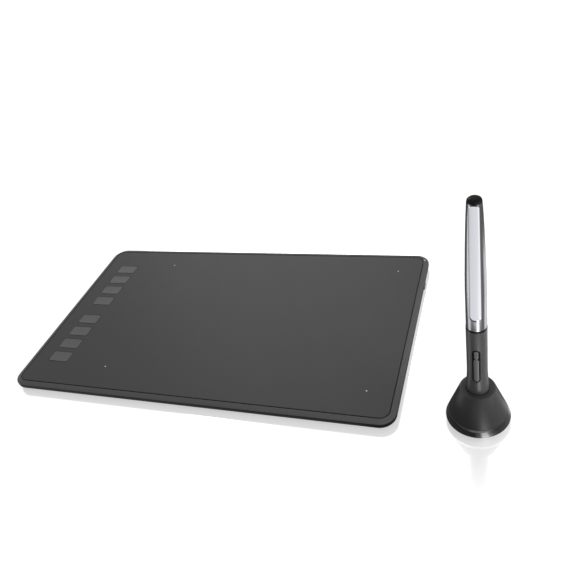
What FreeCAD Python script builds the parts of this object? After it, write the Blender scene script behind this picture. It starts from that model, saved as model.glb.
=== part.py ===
import FreeCAD, Part
import math
import os

# Graphics tablet lying flat on its feet, with its pen standing in a round pen stand beside it.
# Sizes are in millimetres and +Z is up. The origin is on the table, under the middle of the
# whole set. The keys are at the tablet's left end (-X), and its front edge faces -Y.

# Tablet body
tablet_length = 324.0
tablet_width = 190.4
tablet_height = 8.0
corner_radius = 12.0
foot_projection = 0.8
shell_wall = 1.6
floor_thickness = 1.4
bottom_edge_radius = 3.6
seam_gap = 0.25
least_corner = 0.5
edge_tolerance = 1e-4

# Top frame: bevelled rim, groove round the face panel and the shelf that carries the panel
bevel_width = 3.6
bevel_drop = 1.4
edge_land = 0.3
crest_width = 0.5
groove_width = 0.8
panel_seat = 7.0
shelf_thickness = 1.2
tongue_length = 0.5
tongue_thickness = 1.1
tongue_clearance = 0.1
panel_thickness = 1.5
panel_edge_bevel = 0.3

# Drawing area and the four printed dots at its corners
active_length = 221.0
active_width = 138.0
active_right_margin = 24.2
active_offset_y = 1.35
mark_diameter = 0.9
mark_depth = 0.12

# Keys: one column of two groups
keys_per_group = 4
key_length = 19.0
key_width = 11.0
key_corner = 2.0
key_pitch = 16.1
key_group_gap = 25.8
key_column_inset = 29.0
key_projection = 0.2
key_clearance = 0.25
key_travel = 0.5
key_flange_reach = 0.9
key_flange_thickness = 0.7
key_flange_clearance = 0.15
key_edge_round = 0.25
key_stem_radius = 1.5
switch_clearance = 0.05
switch_size = 4.5
switch_corner = 0.5
switch_body_height = 0.7
switch_button_radius = 1.0
switch_button_height = 0.3

# Boards, shield and cables inside the tablet
sensor_thickness = 1.0
sensor_margin = 2.5
shield_thickness = 0.3
shield_setback = 3.3
key_board_width = 18.0
key_board_thickness = 0.8
key_board_end = 9.0
key_board_standoff = 0.6
main_board_length = 50.0
main_board_width = 15.4
main_board_thickness = 0.8
main_board_inset = 3.6
main_board_back_inset = 44.2
main_board_standoff = 0.4
board_corner = 1.5
chip_size = 7.0
chip_height = 1.0
chip_corner = 0.3
chip_shift_x = 2.6
chip_shift_y = 6.2
ribbon_thickness = 0.3
key_ribbon_width = 8.0
key_ribbon_offset = 15.0
key_ribbon_lap = 7.0
sensor_ribbon_width = 12.0
sensor_ribbon_offset = 15.0
sensor_ribbon_lap = 4.0
support_post_radius = 2.5
support_post_columns = 4
support_post_rows = 3
support_post_pitch_x = 58.0
support_post_pitch_y = 50.0
standoff_radius = 1.5

# Micro USB inlet in the right side
usb_back_inset = 39.2
usb_width = 7.5
usb_height = 2.45
usb_depth = 5.4
usb_projection = 0.45
usb_shell_wall = 0.3
usb_corner_cut = 0.8
usb_insert_back = 1.2
usb_tongue_width = 3.8
usb_tongue_thickness = 0.6
usb_tongue_drop = 0.5
usb_tongue_setback = 0.6
usb_clearance = 0.25
usb_top_gap = 0.1

# Status light: a bent clear guide from the main board to the bevel at the rear right corner
light_radius = 0.6
light_inset = 3.0
light_angle = 25.0
light_arm_height = 0.8
light_arm_length = 13.0
led_height = 0.45
light_gap = 0.05

# Cover screws
screw_head_radius = 1.9
screw_head_height = 0.9
screw_radius = 1.0
screw_fit = 0.03
screw_recess = 1.0
screw_head_clearance = 0.15
screw_top_cover = 0.3
boss_radius = 2.3
post_height = 1.1
screw_side_inset = 9.0
screw_side_spacing = 100.0
screw_corner_offset = 3.0
socket_width = 0.5
socket_length = 2.2
socket_depth = 0.5

# Feet under the tablet
foot_length = 26.0
foot_width = 9.0
foot_corner = 4.0
foot_recess = 0.5
foot_edge_round = 0.25
foot_inset_x = 30.0
foot_inset_y = 18.0

# Pen stand
stand_side_gap = 52.0
stand_diameter = 41.3
stand_bottom_diameter = 35.0
stand_top_diameter = 22.2
stand_height = 30.2
stand_widest_height = 4.5
stand_band_top = 9.4
stand_part_gap = 0.2
stand_top_round = 0.8
stand_lift = 0.3
stand_floor = 2.2
stand_wall = 1.8
spigot_radius = 15.3
spigot_wall = 1.4
spigot_top = 13.5
spigot_fit = 0.08
cone_bore_top = 14.0
cone_roof = 3.4
socket_wall = 1.4
socket_clearance = 0.15
socket_well_radius = 3.6
socket_nib_gap = 1.4
socket_floor_thickness = 1.3
socket_flare_entry = 1.0
pad_outer_radius = 16.0
pad_inner_radius = 8.0
pad_thickness = 0.8
band_wall = 1.5
tray_fit = 0.15
tray_height = 5.0
tray_gap = 2.2
tray_finger_radius = 2.2
tray_hole_floor = 1.0
nib_ring_radius = 10.2
nib_count = 8
nib_hole_clearance = 0.1
puller_radius = 3.5
puller_thickness = 0.8
puller_hole_radius = 1.1

# Pen, measured from the nib's tip
pen_facing = 0.0
nib_radius = 0.85
nib_length = 18.0
nib_exposed = 1.6
nib_fit = 0.08
nib_travel = 0.4
nose_mouth_diameter = 3.6
nose_end_diameter = 12.2
nose_end = 12.0
nose_neck = 4.0
nose_wall = 1.2
flare_diameter = 14.1
flare_height = 18.6
waist_start = 27.2
waist_start_diameter = 13.06
grip_diameter = 12.5
grip_straight = 33.0
grip_top = 69.6
grip_bore_radius = 5.3
inner_fit = 0.05
collar_height = 1.2
collar_diameter = 12.4
collar_neck_radius = 5.75
collar_bore_radius = 5.35
collar_seat = 3.0
collar_thread = 4.8
barrel_gap = 0.15
barrel_fit = 0.05
barrel_foot_diameter = 12.15
barrel_diameter = 11.95
barrel_length = 84.85
barrel_taper_drop = 51.8
barrel_shoulder_drop = 39.2
barrel_shoulder_diameter = 11.2
barrel_mid_drop = 23.8
barrel_mid_diameter = 10.4
barrel_upper_drop = 5.8
barrel_upper_diameter = 8.9
barrel_top_diameter = 8.1
barrel_battery_clearance = 0.2
barrel_upper_bore_radius = 3.4
cap_height = 2.2
cap_top_diameter = 5.0
cap_shoulder_diameter = 7.0
cap_shoulder_height = 1.55
cap_plug_length = 3.0
cap_plug_fit = 0.03

# Pen buttons
slot_width = 4.8
slot_length = 27.2
slot_top_inset = 13.9
slot_slack = 0.001
bezel_wall = 0.65
bezel_projection = 0.05
button_width = 3.1
button_clearance = 0.2
button_upper_length = 6.6
button_projection = 0.3
button_flange = 0.35
button_flange_thickness = 0.5
button_flange_clearance = 0.1
button_travel = 0.3

# Pen clip
clip_foot_gap = 8.65
clip_top_width = 5.6
clip_bottom_width = 6.7
clip_thickness = 0.9
clip_top_gap = 0.55
clip_bottom_gap = 1.1
clip_edge_bevel = 0.3
clip_tab_height = 3.0
clip_tab_width = 3.0
clip_tab_drop = 1.3
clip_tab_depth = 0.9
clip_tab_clearance = 0.15
clip_bump_height = 4.0
clip_bump_width = 3.0
clip_bump_gap = 0.3

# Pen inside
ferrite_radius = 2.6
ferrite_start = 7.0
ferrite_length = 10.0
coil_radius = 3.2
coil_end_gap = 1.0
sensor_module_radius = 3.6
sensor_module_length = 4.6
chassis_wall = 1.0
chassis_start = 16.2
chassis_top_inset = 7.1
window_margin = 3.0
pen_board_width = 7.8
pen_board_thickness = 0.8
pen_board_front = 1.4
pen_switch_size = 3.0
pen_switch_height = 1.2
contact_thickness = 0.4
battery_radius = 5.15
battery_length = 44.5
battery_nub_radius = 1.9
battery_nub_height = 0.8
contact_bump_radius = 1.6

# Heights in the tablet that follow from the sizes above
face_top = tablet_height
panel_low = face_top - panel_thickness
shelf_low = panel_low - shelf_thickness
frame_edge_low = face_top - bevel_drop - edge_land
cover_low = foot_projection
cover_rim = frame_edge_low - seam_gap
floor_top = cover_low + floor_thickness
sensor_low = panel_low - sensor_thickness
shield_low = sensor_low - shield_thickness
key_board_low = floor_top + key_board_standoff
key_board_top = key_board_low + key_board_thickness
main_board_low = floor_top + main_board_standoff
main_board_top = main_board_low + main_board_thickness
switch_top = key_board_top + switch_body_height + switch_button_height
boss_low = floor_top + post_height
usb_top = shelf_low - usb_top_gap

# Insets from the tablet's outline
frame_wall_inset = bevel_width + crest_width
panel_inset = frame_wall_inset + groove_width
shelf_inset = panel_inset + panel_seat
tongue_outer_inset = shell_wall + tongue_clearance
tongue_inner_inset = tongue_outer_inset + tongue_thickness

# Places on the table
set_length = tablet_length + stand_side_gap + stand_diameter / 2
tablet_x = (tablet_length - set_length) / 2
tablet_right = tablet_x + tablet_length / 2
tablet_left = tablet_x - tablet_length / 2
tablet_back = tablet_width / 2
stand_x = tablet_right + stand_side_gap
stand_y = stand_diameter / 2 - tablet_back
key_x = tablet_left + key_column_inset
active_x = tablet_right - active_right_margin - active_length / 2
main_board_x = tablet_right - main_board_inset - main_board_width / 2
main_board_y = tablet_back - main_board_back_inset
key_ribbon_y = main_board_y - key_ribbon_offset
sensor_ribbon_y = main_board_y - sensor_ribbon_offset
usb_y = tablet_back - usb_back_inset

# Heights in the stand
tray_low = stand_lift + stand_floor
tray_top = tray_low + tray_height
socket_bottom = tray_top + tray_gap
socket_floor = socket_bottom + socket_floor_thickness
pen_seat_height = socket_floor + socket_nib_gap

# Heights along the pen
barrel_low = grip_top + collar_height + barrel_gap
cap_low = barrel_low + barrel_length
pen_length = cap_low + cap_height
clip_bottom = barrel_low + clip_foot_gap
chassis_end = grip_top - chassis_top_inset
battery_low = chassis_end + contact_thickness + inner_fit
battery_top = battery_low + battery_length
barrel_battery_top = battery_top + 2 * contact_thickness
battery_bore_radius = battery_radius + barrel_battery_clearance
slot_high = grip_top - slot_top_inset
slot_low = slot_high - slot_length
slot_centre = slot_high - slot_length / 2
button_low = slot_low + bezel_wall + button_clearance
button_high = slot_high - bezel_wall - button_clearance
button_split = button_high - button_upper_length
switch_front = pen_board_front + pen_switch_height


def rounded_wire(length, width, radius, z, centre_x=0.0, centre_y=0.0):
    """Closed outline of a rectangle with round corners, flat at height z."""
    half_x = length / 2
    half_y = width / 2
    diagonal = radius * math.sqrt(0.5)
    edges = []
    corners = [(1, 1), (-1, 1), (-1, -1), (1, -1)]
    for number, (side_x, side_y) in enumerate(corners):
        mid_x = centre_x + side_x * (half_x - radius)
        mid_y = centre_y + side_y * (half_y - radius)
        on_side = FreeCAD.Vector(centre_x + side_x * half_x, mid_y, z)
        on_end = FreeCAD.Vector(mid_x, centre_y + side_y * half_y, z)
        middle = FreeCAD.Vector(mid_x + side_x * diagonal, mid_y + side_y * diagonal, z)
        first, last = (on_side, on_end) if number % 2 == 0 else (on_end, on_side)
        if edges:
            edges.append(Part.makeLine(edges[-1].lastVertex().Point, first))
        edges.append(Part.Arc(first, middle, last).toShape())
    edges.append(Part.makeLine(edges[-1].lastVertex().Point, edges[0].firstVertex().Point))
    return Part.Wire(edges)


def slab(length, width, radius, low, high, centre_x=0.0, centre_y=0.0):
    """Upright prism on a rectangle with round corners."""
    face = Part.Face(rounded_wire(length, width, radius, low, centre_x, centre_y))
    return face.extrude(FreeCAD.Vector(0, 0, high - low))


def tablet_slab(inset, low, high):
    """Prism on the tablet's outline, drawn in by an inset."""
    radius = max(corner_radius - inset, least_corner)
    return slab(tablet_length - 2 * inset, tablet_width - 2 * inset, radius, low, high, tablet_x)


def tablet_wire(inset, z):
    """The tablet's outline, drawn in by an inset, at height z."""
    radius = max(corner_radius - inset, least_corner)
    return rounded_wire(tablet_length - 2 * inset, tablet_width - 2 * inset, radius, z, tablet_x)


def block(x_low, x_high, y_low, y_high, z_low, z_high):
    """Box between two corners."""
    corner = FreeCAD.Vector(x_low, y_low, z_low)
    return Part.makeBox(x_high - x_low, y_high - y_low, z_high - z_low, corner)


def disc(radius, low, high, x=0.0, y=0.0):
    """Upright cylinder."""
    return Part.makeCylinder(radius, high - low, FreeCAD.Vector(x, y, low))


def tube(outer, inner, low, high, x=0.0, y=0.0):
    """Upright ring with a straight bore."""
    return disc(outer, low, high, x, y).cut(disc(inner, low, high, x, y))


def turned(points):
    """Solid of revolution about Z from a closed list of (radius, height) points."""
    corners = [FreeCAD.Vector(radius, 0, height) for radius, height in points]
    face = Part.Face(Part.makePolygon(corners + corners[:1]))
    return face.revolve(FreeCAD.Vector(0, 0, 0), FreeCAD.Vector(0, 0, 1), 360)


def turned_curve(points, upright_end):
    """Solid of revolution whose side is a smooth curve through (radius, height) points.

    The curve stands upright at its first or its last point, and there meets a straight tube.
    """
    path = [FreeCAD.Vector(radius, 0, height) for radius, height in points]
    up = FreeCAD.Vector(0, 0, 1)
    start = (path[1] - path[0]).normalize() if upright_end else up
    end = up if upright_end else (path[-1] - path[-2]).normalize()
    curve = Part.BSplineCurve()
    curve.interpolate(Points=path, InitialTangent=start, FinalTangent=end)
    foot = FreeCAD.Vector(0, 0, path[0].z)
    head = FreeCAD.Vector(0, 0, path[-1].z)
    edges = [Part.makeLine(foot, path[0]), curve.toShape(),
             Part.makeLine(path[-1], head), Part.makeLine(head, foot)]
    face = Part.Face(Part.Wire(edges))
    return face.revolve(FreeCAD.Vector(0, 0, 0), up, 360)


def fused(shapes):
    """One solid from touching shapes, with leftover seams removed."""
    first, rest = shapes[0], shapes[1:]
    return first.multiFuse(rest).removeSplitter() if rest else first


def cut_all(shape, tools):
    """Shape with a list of other shapes taken away."""
    return shape.cut(Part.makeCompound(tools)) if tools else shape


def flat_rim(shape, z):
    """Edges of a shape that lie flat at height z."""
    return [edge for edge in shape.Edges
            if abs(edge.BoundBox.ZMin - z) < edge_tolerance
            and abs(edge.BoundBox.ZMax - z) < edge_tolerance]


def key_centres():
    """Middle of each key along Y, from the rear key to the front key."""
    first = key_group_gap / 2
    rear = [first + key_pitch * step for step in reversed(range(keys_per_group))]
    return rear + [-y for y in reversed(rear)]


def foot_centres():
    """Middle of each foot."""
    reach_x = tablet_length / 2 - foot_inset_x
    reach_y = tablet_width / 2 - foot_inset_y
    return [(tablet_x + side_x * reach_x, side_y * reach_y)
            for side_x in (-1, 1) for side_y in (-1, 1)]


def screw_centres():
    """Middle of each cover screw: one at each corner and two along each long side."""
    corner = corner_radius - screw_corner_offset * math.sqrt(0.5)
    reach_x = tablet_length / 2 - corner
    reach_y = tablet_width / 2 - corner
    side_y = tablet_width / 2 - screw_side_inset
    corners = [(tablet_x + side * reach_x, end * reach_y) for side in (-1, 1) for end in (-1, 1)]
    sides = [(tablet_x + side * screw_side_spacing / 2, end * side_y)
             for side in (-1, 1) for end in (-1, 1)]
    return corners + sides


def support_centres():
    """Middle of each post of the bottom cover that carries the shield and the sensor board."""
    half_columns = (support_post_columns - 1) / 2
    half_rows = (support_post_rows - 1) / 2
    return [(active_x + (column - half_columns) * support_post_pitch_x,
             active_offset_y + (row - half_rows) * support_post_pitch_y)
            for column in range(support_post_columns) for row in range(support_post_rows)]


def light_centre():
    """Place of the status light on the bevel at the rear right corner."""
    reach = corner_radius - light_inset
    turn = math.radians(light_angle)
    return (tablet_right - corner_radius + reach * math.cos(turn),
            tablet_back - corner_radius + reach * math.sin(turn))


def usb_room(clearance):
    """Space that the USB inlet takes, grown by a clearance."""
    return block(tablet_right - usb_depth - clearance, tablet_right + usb_projection,
                 usb_y - usb_width / 2 - clearance,
                 usb_y + usb_width / 2 + clearance,
                 usb_top - usb_height - clearance, usb_top + clearance)


def make_top_frame():
    """Bevelled rim with the shelf under the face panel, screw bosses and locating tongue."""
    bevel_low = face_top - bevel_drop
    bevel = Part.makeLoft([tablet_wire(0, bevel_low), tablet_wire(bevel_width, face_top)],
                          True, True)
    body = fused([tablet_slab(0, frame_edge_low, bevel_low), bevel])
    body = body.cut(tablet_slab(frame_wall_inset, panel_low, face_top))
    shelf = tablet_slab(tongue_inner_inset, shelf_low, panel_low)
    tongue = tablet_slab(tongue_outer_inset, shelf_low - tongue_length, frame_edge_low)
    tongue = tongue.cut(tablet_slab(tongue_inner_inset, shelf_low - tongue_length, shelf_low))
    bosses = [disc(boss_radius, boss_low, shelf_low, x, y) for x, y in screw_centres()]
    body = fused([body, tongue, shelf] + bosses)
    inside = tablet_slab(shelf_inset, boss_low, panel_low)
    keep = [disc(boss_radius, boss_low, panel_low, x, y) for x, y in screw_centres()]
    body = body.cut(cut_all(inside, keep))
    holes = [disc(screw_radius + screw_fit, boss_low, panel_low - screw_top_cover, x, y)
             for x, y in screw_centres()]
    light_x, light_y = light_centre()
    holes.append(disc(light_radius + light_gap, boss_low, face_top, light_x, light_y))
    holes.append(usb_room(usb_top_gap))
    return cut_all(body, holes)


def make_face_panel():
    """Flat face plate with the key openings and a small dimple at each corner of the drawing area."""
    panel = tablet_slab(panel_inset, panel_low, face_top)
    panel = panel.makeChamfer(panel_edge_bevel, flat_rim(panel, face_top))
    openings = [slab(key_length + 2 * key_clearance, key_width + 2 * key_clearance,
                     key_corner + key_clearance, panel_low, face_top, key_x, y)
                for y in key_centres()]
    marks = [disc(mark_diameter / 2, face_top - mark_depth, face_top,
                  active_x + side * active_length / 2,
                  active_offset_y + end * active_width / 2)
             for side in (-1, 1) for end in (-1, 1)]
    return cut_all(panel, openings + marks)


def make_bottom_cover():
    """Tray with round lower edges, support posts, screw posts, foot recesses and USB opening."""
    outside = tablet_slab(0, cover_low, cover_rim)
    outside = outside.makeFillet(bottom_edge_radius, flat_rim(outside, cover_low))
    inside = tablet_slab(shell_wall, floor_top, cover_rim)
    inner_radius = max(bottom_edge_radius - floor_thickness, least_corner)
    inside = inside.makeFillet(inner_radius, flat_rim(inside, floor_top))
    tray = outside.cut(inside)
    posts = [disc(support_post_radius, cover_low + foot_recess, shield_low, x, y)
             for x, y in support_centres()]
    posts += [disc(boss_radius, cover_low + foot_recess, boss_low, x, y)
              for x, y in screw_centres()]
    posts += [disc(standoff_radius, cover_low + foot_recess, key_board_low, x, y)
              for x, y in key_board_standoffs()]
    posts += [disc(standoff_radius, cover_low + foot_recess, main_board_low, x, y)
              for x, y in main_board_standoffs()]
    tray = fused([tray] + posts)
    cuts = [slab(foot_length + 2 * inner_fit, foot_width + 2 * inner_fit,
                 foot_corner + inner_fit, cover_low, cover_low + foot_recess, x, y)
            for x, y in foot_centres()]
    for x, y in screw_centres():
        cuts.append(disc(screw_head_radius + screw_head_clearance, cover_low,
                         cover_low + screw_recess, x, y))
        cuts.append(disc(screw_radius + screw_fit, cover_low, boss_low, x, y))
    cuts.append(usb_room(usb_clearance))
    return cut_all(tray, cuts)


def make_key(y):
    """Key cap with a retaining flange under the panel and a stem above its switch."""
    cap_low_z = panel_low - key_flange_clearance - key_flange_thickness
    cap = slab(key_length, key_width, key_corner, cap_low_z, face_top + key_projection, key_x, y)
    cap = cap.makeFillet(key_edge_round, flat_rim(cap, face_top + key_projection))
    flange = slab(key_length + 2 * key_flange_reach, key_width + 2 * key_flange_reach,
                  key_corner + key_flange_reach, cap_low_z,
                  cap_low_z + key_flange_thickness, key_x, y)
    stem = disc(key_stem_radius, switch_top + key_travel + switch_clearance, cap_low_z, key_x, y)
    return fused([cap, flange, stem])


def key_board_reach():
    """Half of the key board's length."""
    return max(key_centres()) + key_board_end


def key_board_standoffs():
    """Small pads of the bottom cover under the key board."""
    reach_x = key_board_width / 2 - standoff_radius
    reach_y = key_board_reach() - 2 * standoff_radius
    return [(key_x + side * reach_x, y) for side in (-1, 1) for y in (-reach_y, 0, reach_y)]


def main_board_standoffs():
    """Small pads of the bottom cover under the main board."""
    x = main_board_x - main_board_width / 2 + 2 * standoff_radius
    reach_y = main_board_length / 2 - 2 * standoff_radius
    return [(x, main_board_y + side * reach_y) for side in (-1, 1)]


def make_key_board():
    """Long narrow circuit board under the keys."""
    return slab(key_board_width, 2 * key_board_reach(), board_corner,
                key_board_low, key_board_top, key_x)


def make_key_switch(y):
    """Surface mounted push switch with a round button."""
    body_top = key_board_top + switch_body_height
    body = slab(switch_size, switch_size, switch_corner, key_board_top, body_top, key_x, y)
    return fused([body, disc(switch_button_radius, body_top, switch_top, key_x, y)])


def make_sensor_board():
    """Sensor board under the drawing area."""
    return slab(active_length + 2 * sensor_margin, active_width + 2 * sensor_margin,
                board_corner, sensor_low, panel_low, active_x, active_offset_y)


def make_shield_plate():
    """Thin shield plate under the sensor board, set back at the right end for the flat cable."""
    length = active_length + 2 * sensor_margin - shield_setback
    return slab(length, active_width + 2 * sensor_margin, board_corner, shield_low, sensor_low,
                active_x - shield_setback / 2, active_offset_y)


def make_main_board():
    """Main circuit board with its chips, notched for the USB inlet."""
    board = slab(main_board_width, main_board_length, board_corner,
                 main_board_low, main_board_top, main_board_x, main_board_y)
    board = board.cut(usb_room(usb_top_gap))
    chip = slab(chip_size, chip_size, chip_corner, main_board_top, main_board_top + chip_height,
                main_board_x - chip_shift_x, main_board_y + chip_shift_y)
    light_x, light_y = light_centre()
    led_y = light_y - light_arm_length + light_radius
    led = block(light_x - light_radius, light_x + light_radius, led_y - light_radius,
                led_y + light_radius, main_board_top, main_board_top + led_height)
    return fused([board, chip, led])


def make_key_ribbon():
    """Flat cable on the tray's floor, from under the key board to under the main board."""
    start = key_x + key_board_width / 2 - key_ribbon_lap
    end = main_board_x - main_board_width / 2 + key_ribbon_lap
    middle = (start + end) / 2
    return slab(end - start, key_ribbon_width, board_corner, floor_top,
                floor_top + ribbon_thickness, middle, key_ribbon_y)


def make_sensor_ribbon():
    """Short flat cable stepped down from the sensor board to the main board."""
    step_left = active_x + active_length / 2 + sensor_margin + ribbon_thickness
    step_right = step_left + ribbon_thickness
    start = step_left - shield_setback
    end = main_board_x - main_board_width / 2 + sensor_ribbon_lap
    low = main_board_top
    side = [(start, sensor_low), (start, sensor_low - ribbon_thickness),
            (step_left, sensor_low - ribbon_thickness), (step_left, low), (end, low),
            (end, low + ribbon_thickness), (step_right, low + ribbon_thickness),
            (step_right, sensor_low)]
    near = sensor_ribbon_y - sensor_ribbon_width / 2
    corners = [FreeCAD.Vector(x, near, z) for x, z in side]
    face = Part.Face(Part.makePolygon(corners + corners[:1]))
    return face.extrude(FreeCAD.Vector(0, sensor_ribbon_width, 0))


def usb_outline(shrink, x):
    """Outline of the USB shell across the inlet: a rectangle whose lower corners are cut."""
    half = usb_width / 2 - shrink
    top = usb_top - shrink
    low = usb_top - usb_height + shrink
    cut = usb_corner_cut
    side = [(-half, top), (half, top), (half, low + cut), (half - cut, low),
            (cut - half, low), (-half, low + cut)]
    corners = [FreeCAD.Vector(x, usb_y + y, z) for y, z in side]
    return Part.Face(Part.makePolygon(corners + corners[:1]))


def make_usb_shell():
    """Folded metal shell of the micro USB inlet."""
    start = tablet_right - usb_depth
    length = usb_depth + usb_projection
    outside = usb_outline(0, start).extrude(FreeCAD.Vector(length, 0, 0))
    inside = usb_outline(usb_shell_wall, start).extrude(FreeCAD.Vector(length, 0, 0))
    return outside.cut(inside)


def make_usb_insert():
    """Plastic insert that closes the shell's rear and carries the contact tongue."""
    start = tablet_right - usb_depth
    fit = usb_shell_wall + inner_fit
    back = usb_outline(fit, start).extrude(FreeCAD.Vector(usb_insert_back, 0, 0))
    tongue_top = usb_top - usb_shell_wall - usb_tongue_drop
    tongue = block(start, tablet_right - usb_tongue_setback,
                   usb_y - usb_tongue_width / 2, usb_y + usb_tongue_width / 2,
                   tongue_top - usb_tongue_thickness, tongue_top)
    return fused([back, tongue])


def make_status_light():
    """Clear light guide: an upright pin that ends in the bevel and an arm above the lamp."""
    x, y = light_centre()
    low = main_board_top + led_height + light_gap
    pin = disc(light_radius, low, face_top, x, y)
    depth = bevel_drop * (1 - light_inset / bevel_width)
    pin = pin.cut(disc(2 * light_radius, face_top - depth, face_top, x, y))
    arm = block(x - light_radius, x + light_radius, y - light_arm_length, y,
                low, low + light_arm_height)
    return fused([pin, arm])


def make_cover_screws():
    """Eight alike screws that hold the bottom cover to the top frame."""
    head_low = cover_low + screw_recess - screw_head_height
    head_top = cover_low + screw_recess
    tip = panel_low - screw_top_cover
    screws = []
    for x, y in screw_centres():
        screw = fused([disc(screw_head_radius, head_low, head_top, x, y),
                       disc(screw_radius, head_top, tip, x, y)])
        across = block(x - socket_length / 2, x + socket_length / 2, y - socket_width / 2,
                       y + socket_width / 2, head_low, head_low + socket_depth)
        along = block(x - socket_width / 2, x + socket_width / 2, y - socket_length / 2,
                      y + socket_length / 2, head_low, head_low + socket_depth)
        screws.append(screw.cut(across).cut(along))
    return Part.makeCompound(screws)


def make_foot(x, y):
    """Rubber foot, bedded in a shallow recess of the bottom cover."""
    foot = slab(foot_length, foot_width, foot_corner, 0, cover_low + foot_recess, x, y)
    return foot.makeFillet(foot_edge_round, flat_rim(foot, 0))


def stand_radius(z):
    """Outer radius of the stand's tapered side at height z."""
    widest = stand_diameter / 2
    top = stand_top_diameter / 2
    return widest + (top - widest) * (z - stand_widest_height) / (stand_height - stand_widest_height)


def at_stand(shape):
    """Move a shape from the axis of the model to the stand's place."""
    moved = shape.copy()
    moved.translate(FreeCAD.Vector(stand_x, stand_y, 0))
    return moved


def make_stand_base():
    """Round base plate with a bevelled edge and the spigot that the cone turns on."""
    band_bore = stand_radius(stand_band_top) - band_wall
    base = turned([
        (0, stand_lift), (stand_bottom_diameter / 2, stand_lift),
        (stand_diameter / 2, stand_widest_height), (band_bore, stand_widest_height),
        (band_bore, stand_band_top), (spigot_radius, stand_band_top), (spigot_radius, spigot_top),
        (spigot_radius - spigot_wall, spigot_top), (spigot_radius - spigot_wall, tray_low),
        (0, tray_low)])
    groove = tube(pad_outer_radius + inner_fit, pad_inner_radius - inner_fit, stand_lift, pad_thickness)
    return at_stand(base.cut(groove))


def make_stand_band():
    """Glossy ring round the base, in line with the cone's side."""
    bore = stand_radius(stand_band_top) - band_wall + inner_fit
    low = stand_widest_height + inner_fit
    return at_stand(turned([(bore, low), (stand_radius(low), low),
                            (stand_radius(stand_band_top), stand_band_top),
                            (bore, stand_band_top)]))


def nose_radius(height):
    """Radius of the pen's nose cone at a height above the nib's tip."""
    mouth = nose_mouth_diameter / 2
    end = nose_end_diameter / 2
    return mouth + (end - mouth) * (height - nib_exposed) / (nose_end - nib_exposed)


def make_stand_cone():
    """Tapered body that turns on the base, with the socket that holds the pen."""
    low = stand_band_top + stand_part_gap
    roof = stand_height - cone_roof
    shell = turned([(0, low), (stand_radius(low), low), (stand_radius(stand_height), stand_height),
                    (0, stand_height)])
    shell = shell.makeFillet(stand_top_round, flat_rim(shell, stand_height))
    bore = spigot_radius + spigot_fit
    hollow = turned([(0, low), (bore, low), (bore, cone_bore_top),
                     (stand_radius(roof) - stand_wall, roof), (0, roof)])
    seat_top = nose_radius(nose_end) + socket_clearance
    mouth = flare_diameter / 2 + socket_clearance
    seat_z = pen_seat_height + nose_end
    well_height = nib_exposed + (socket_well_radius - nose_mouth_diameter / 2 - socket_clearance) \
        * (nose_end - nib_exposed) / ((nose_end_diameter - nose_mouth_diameter) / 2)
    well_z = pen_seat_height + well_height
    wall = socket_wall
    holder = turned([(0, socket_bottom), (socket_well_radius + wall, socket_bottom),
                     (socket_well_radius + wall, well_z), (seat_top + wall, seat_z),
                     (mouth + wall, roof), (mouth + wall, stand_height - stand_top_round),
                     (0, stand_height - stand_top_round)])
    socket = turned([(0, socket_floor), (socket_well_radius, socket_floor),
                     (socket_well_radius, well_z), (seat_top, seat_z),
                     (mouth, pen_seat_height + flare_height - socket_flare_entry),
                     (mouth, pen_seat_height + grip_top), (0, pen_seat_height + grip_top)])
    return at_stand(fused([shell.cut(hollow), holder]).cut(socket))


def make_stand_pad():
    """Rubber ring that the stand rests on."""
    return at_stand(tube(pad_outer_radius, pad_inner_radius, 0, pad_thickness))


def nib_places():
    """Middle of each spare nib round the stand's axis."""
    step = 2 * math.pi / nib_count
    return [(nib_ring_radius * math.cos(step * number), nib_ring_radius * math.sin(step * number))
            for number in range(nib_count)]


def make_nib_tray():
    """Round tray with a hole for each spare nib and a seat for the nib puller."""
    tray = disc(spigot_radius - spigot_wall - tray_fit, tray_low, tray_top)
    holes = [disc(nib_radius + nib_hole_clearance, tray_low + tray_hole_floor, tray_top, x, y)
             for x, y in nib_places()]
    holes.append(disc(puller_radius + inner_fit, tray_top - puller_thickness, tray_top))
    holes.append(disc(tray_finger_radius, tray_low + tray_hole_floor, tray_top))
    return at_stand(cut_all(tray, holes))


def make_nib_puller():
    """Steel ring that grips a worn nib."""
    return at_stand(tube(puller_radius, puller_hole_radius, tray_top - puller_thickness, tray_top))


def nib_solid(low, x, y):
    """Nib with its rounded tip downwards."""
    shaft = disc(nib_radius, low + nib_radius, low + nib_length, x, y)
    tip = Part.makeSphere(nib_radius, FreeCAD.Vector(x, y, low + nib_radius))
    return fused([shaft, tip])


def make_spare_nibs():
    """Spare nibs that stand in the tray."""
    low = tray_low + tray_hole_floor
    return at_stand(Part.makeCompound([nib_solid(low, x, y) for x, y in nib_places()]))


def at_pen(shape):
    """Turn a pen piece to its facing and stand it in the socket. Its buttons start facing -Y."""
    moved = shape.copy()
    moved.rotate(FreeCAD.Vector(0, 0, 0), FreeCAD.Vector(0, 0, 1), pen_facing)
    moved.translate(FreeCAD.Vector(stand_x, stand_y, pen_seat_height))
    return moved


def stadium(width, length, centre_height, back, front):
    """Slot shape along the pen: round ends, going through from back to front towards -Y."""
    flat = slab(width, length, width / 2 - slot_slack, back, front)
    flat.rotate(FreeCAD.Vector(0, 0, 0), FreeCAD.Vector(1, 0, 0), 90)
    flat.translate(FreeCAD.Vector(0, 0, centre_height))
    return flat


def grip_outside():
    """Outer form of the grip, from the nose to the collar."""
    points = [(nose_end_diameter / 2, nose_end), (flare_diameter / 2, flare_height),
              (waist_start_diameter / 2, waist_start), (grip_diameter / 2, grip_straight)]
    lower = turned_curve(points, upright_end=True)
    return fused([lower, disc(grip_diameter / 2, grip_straight, grip_top)])


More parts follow.
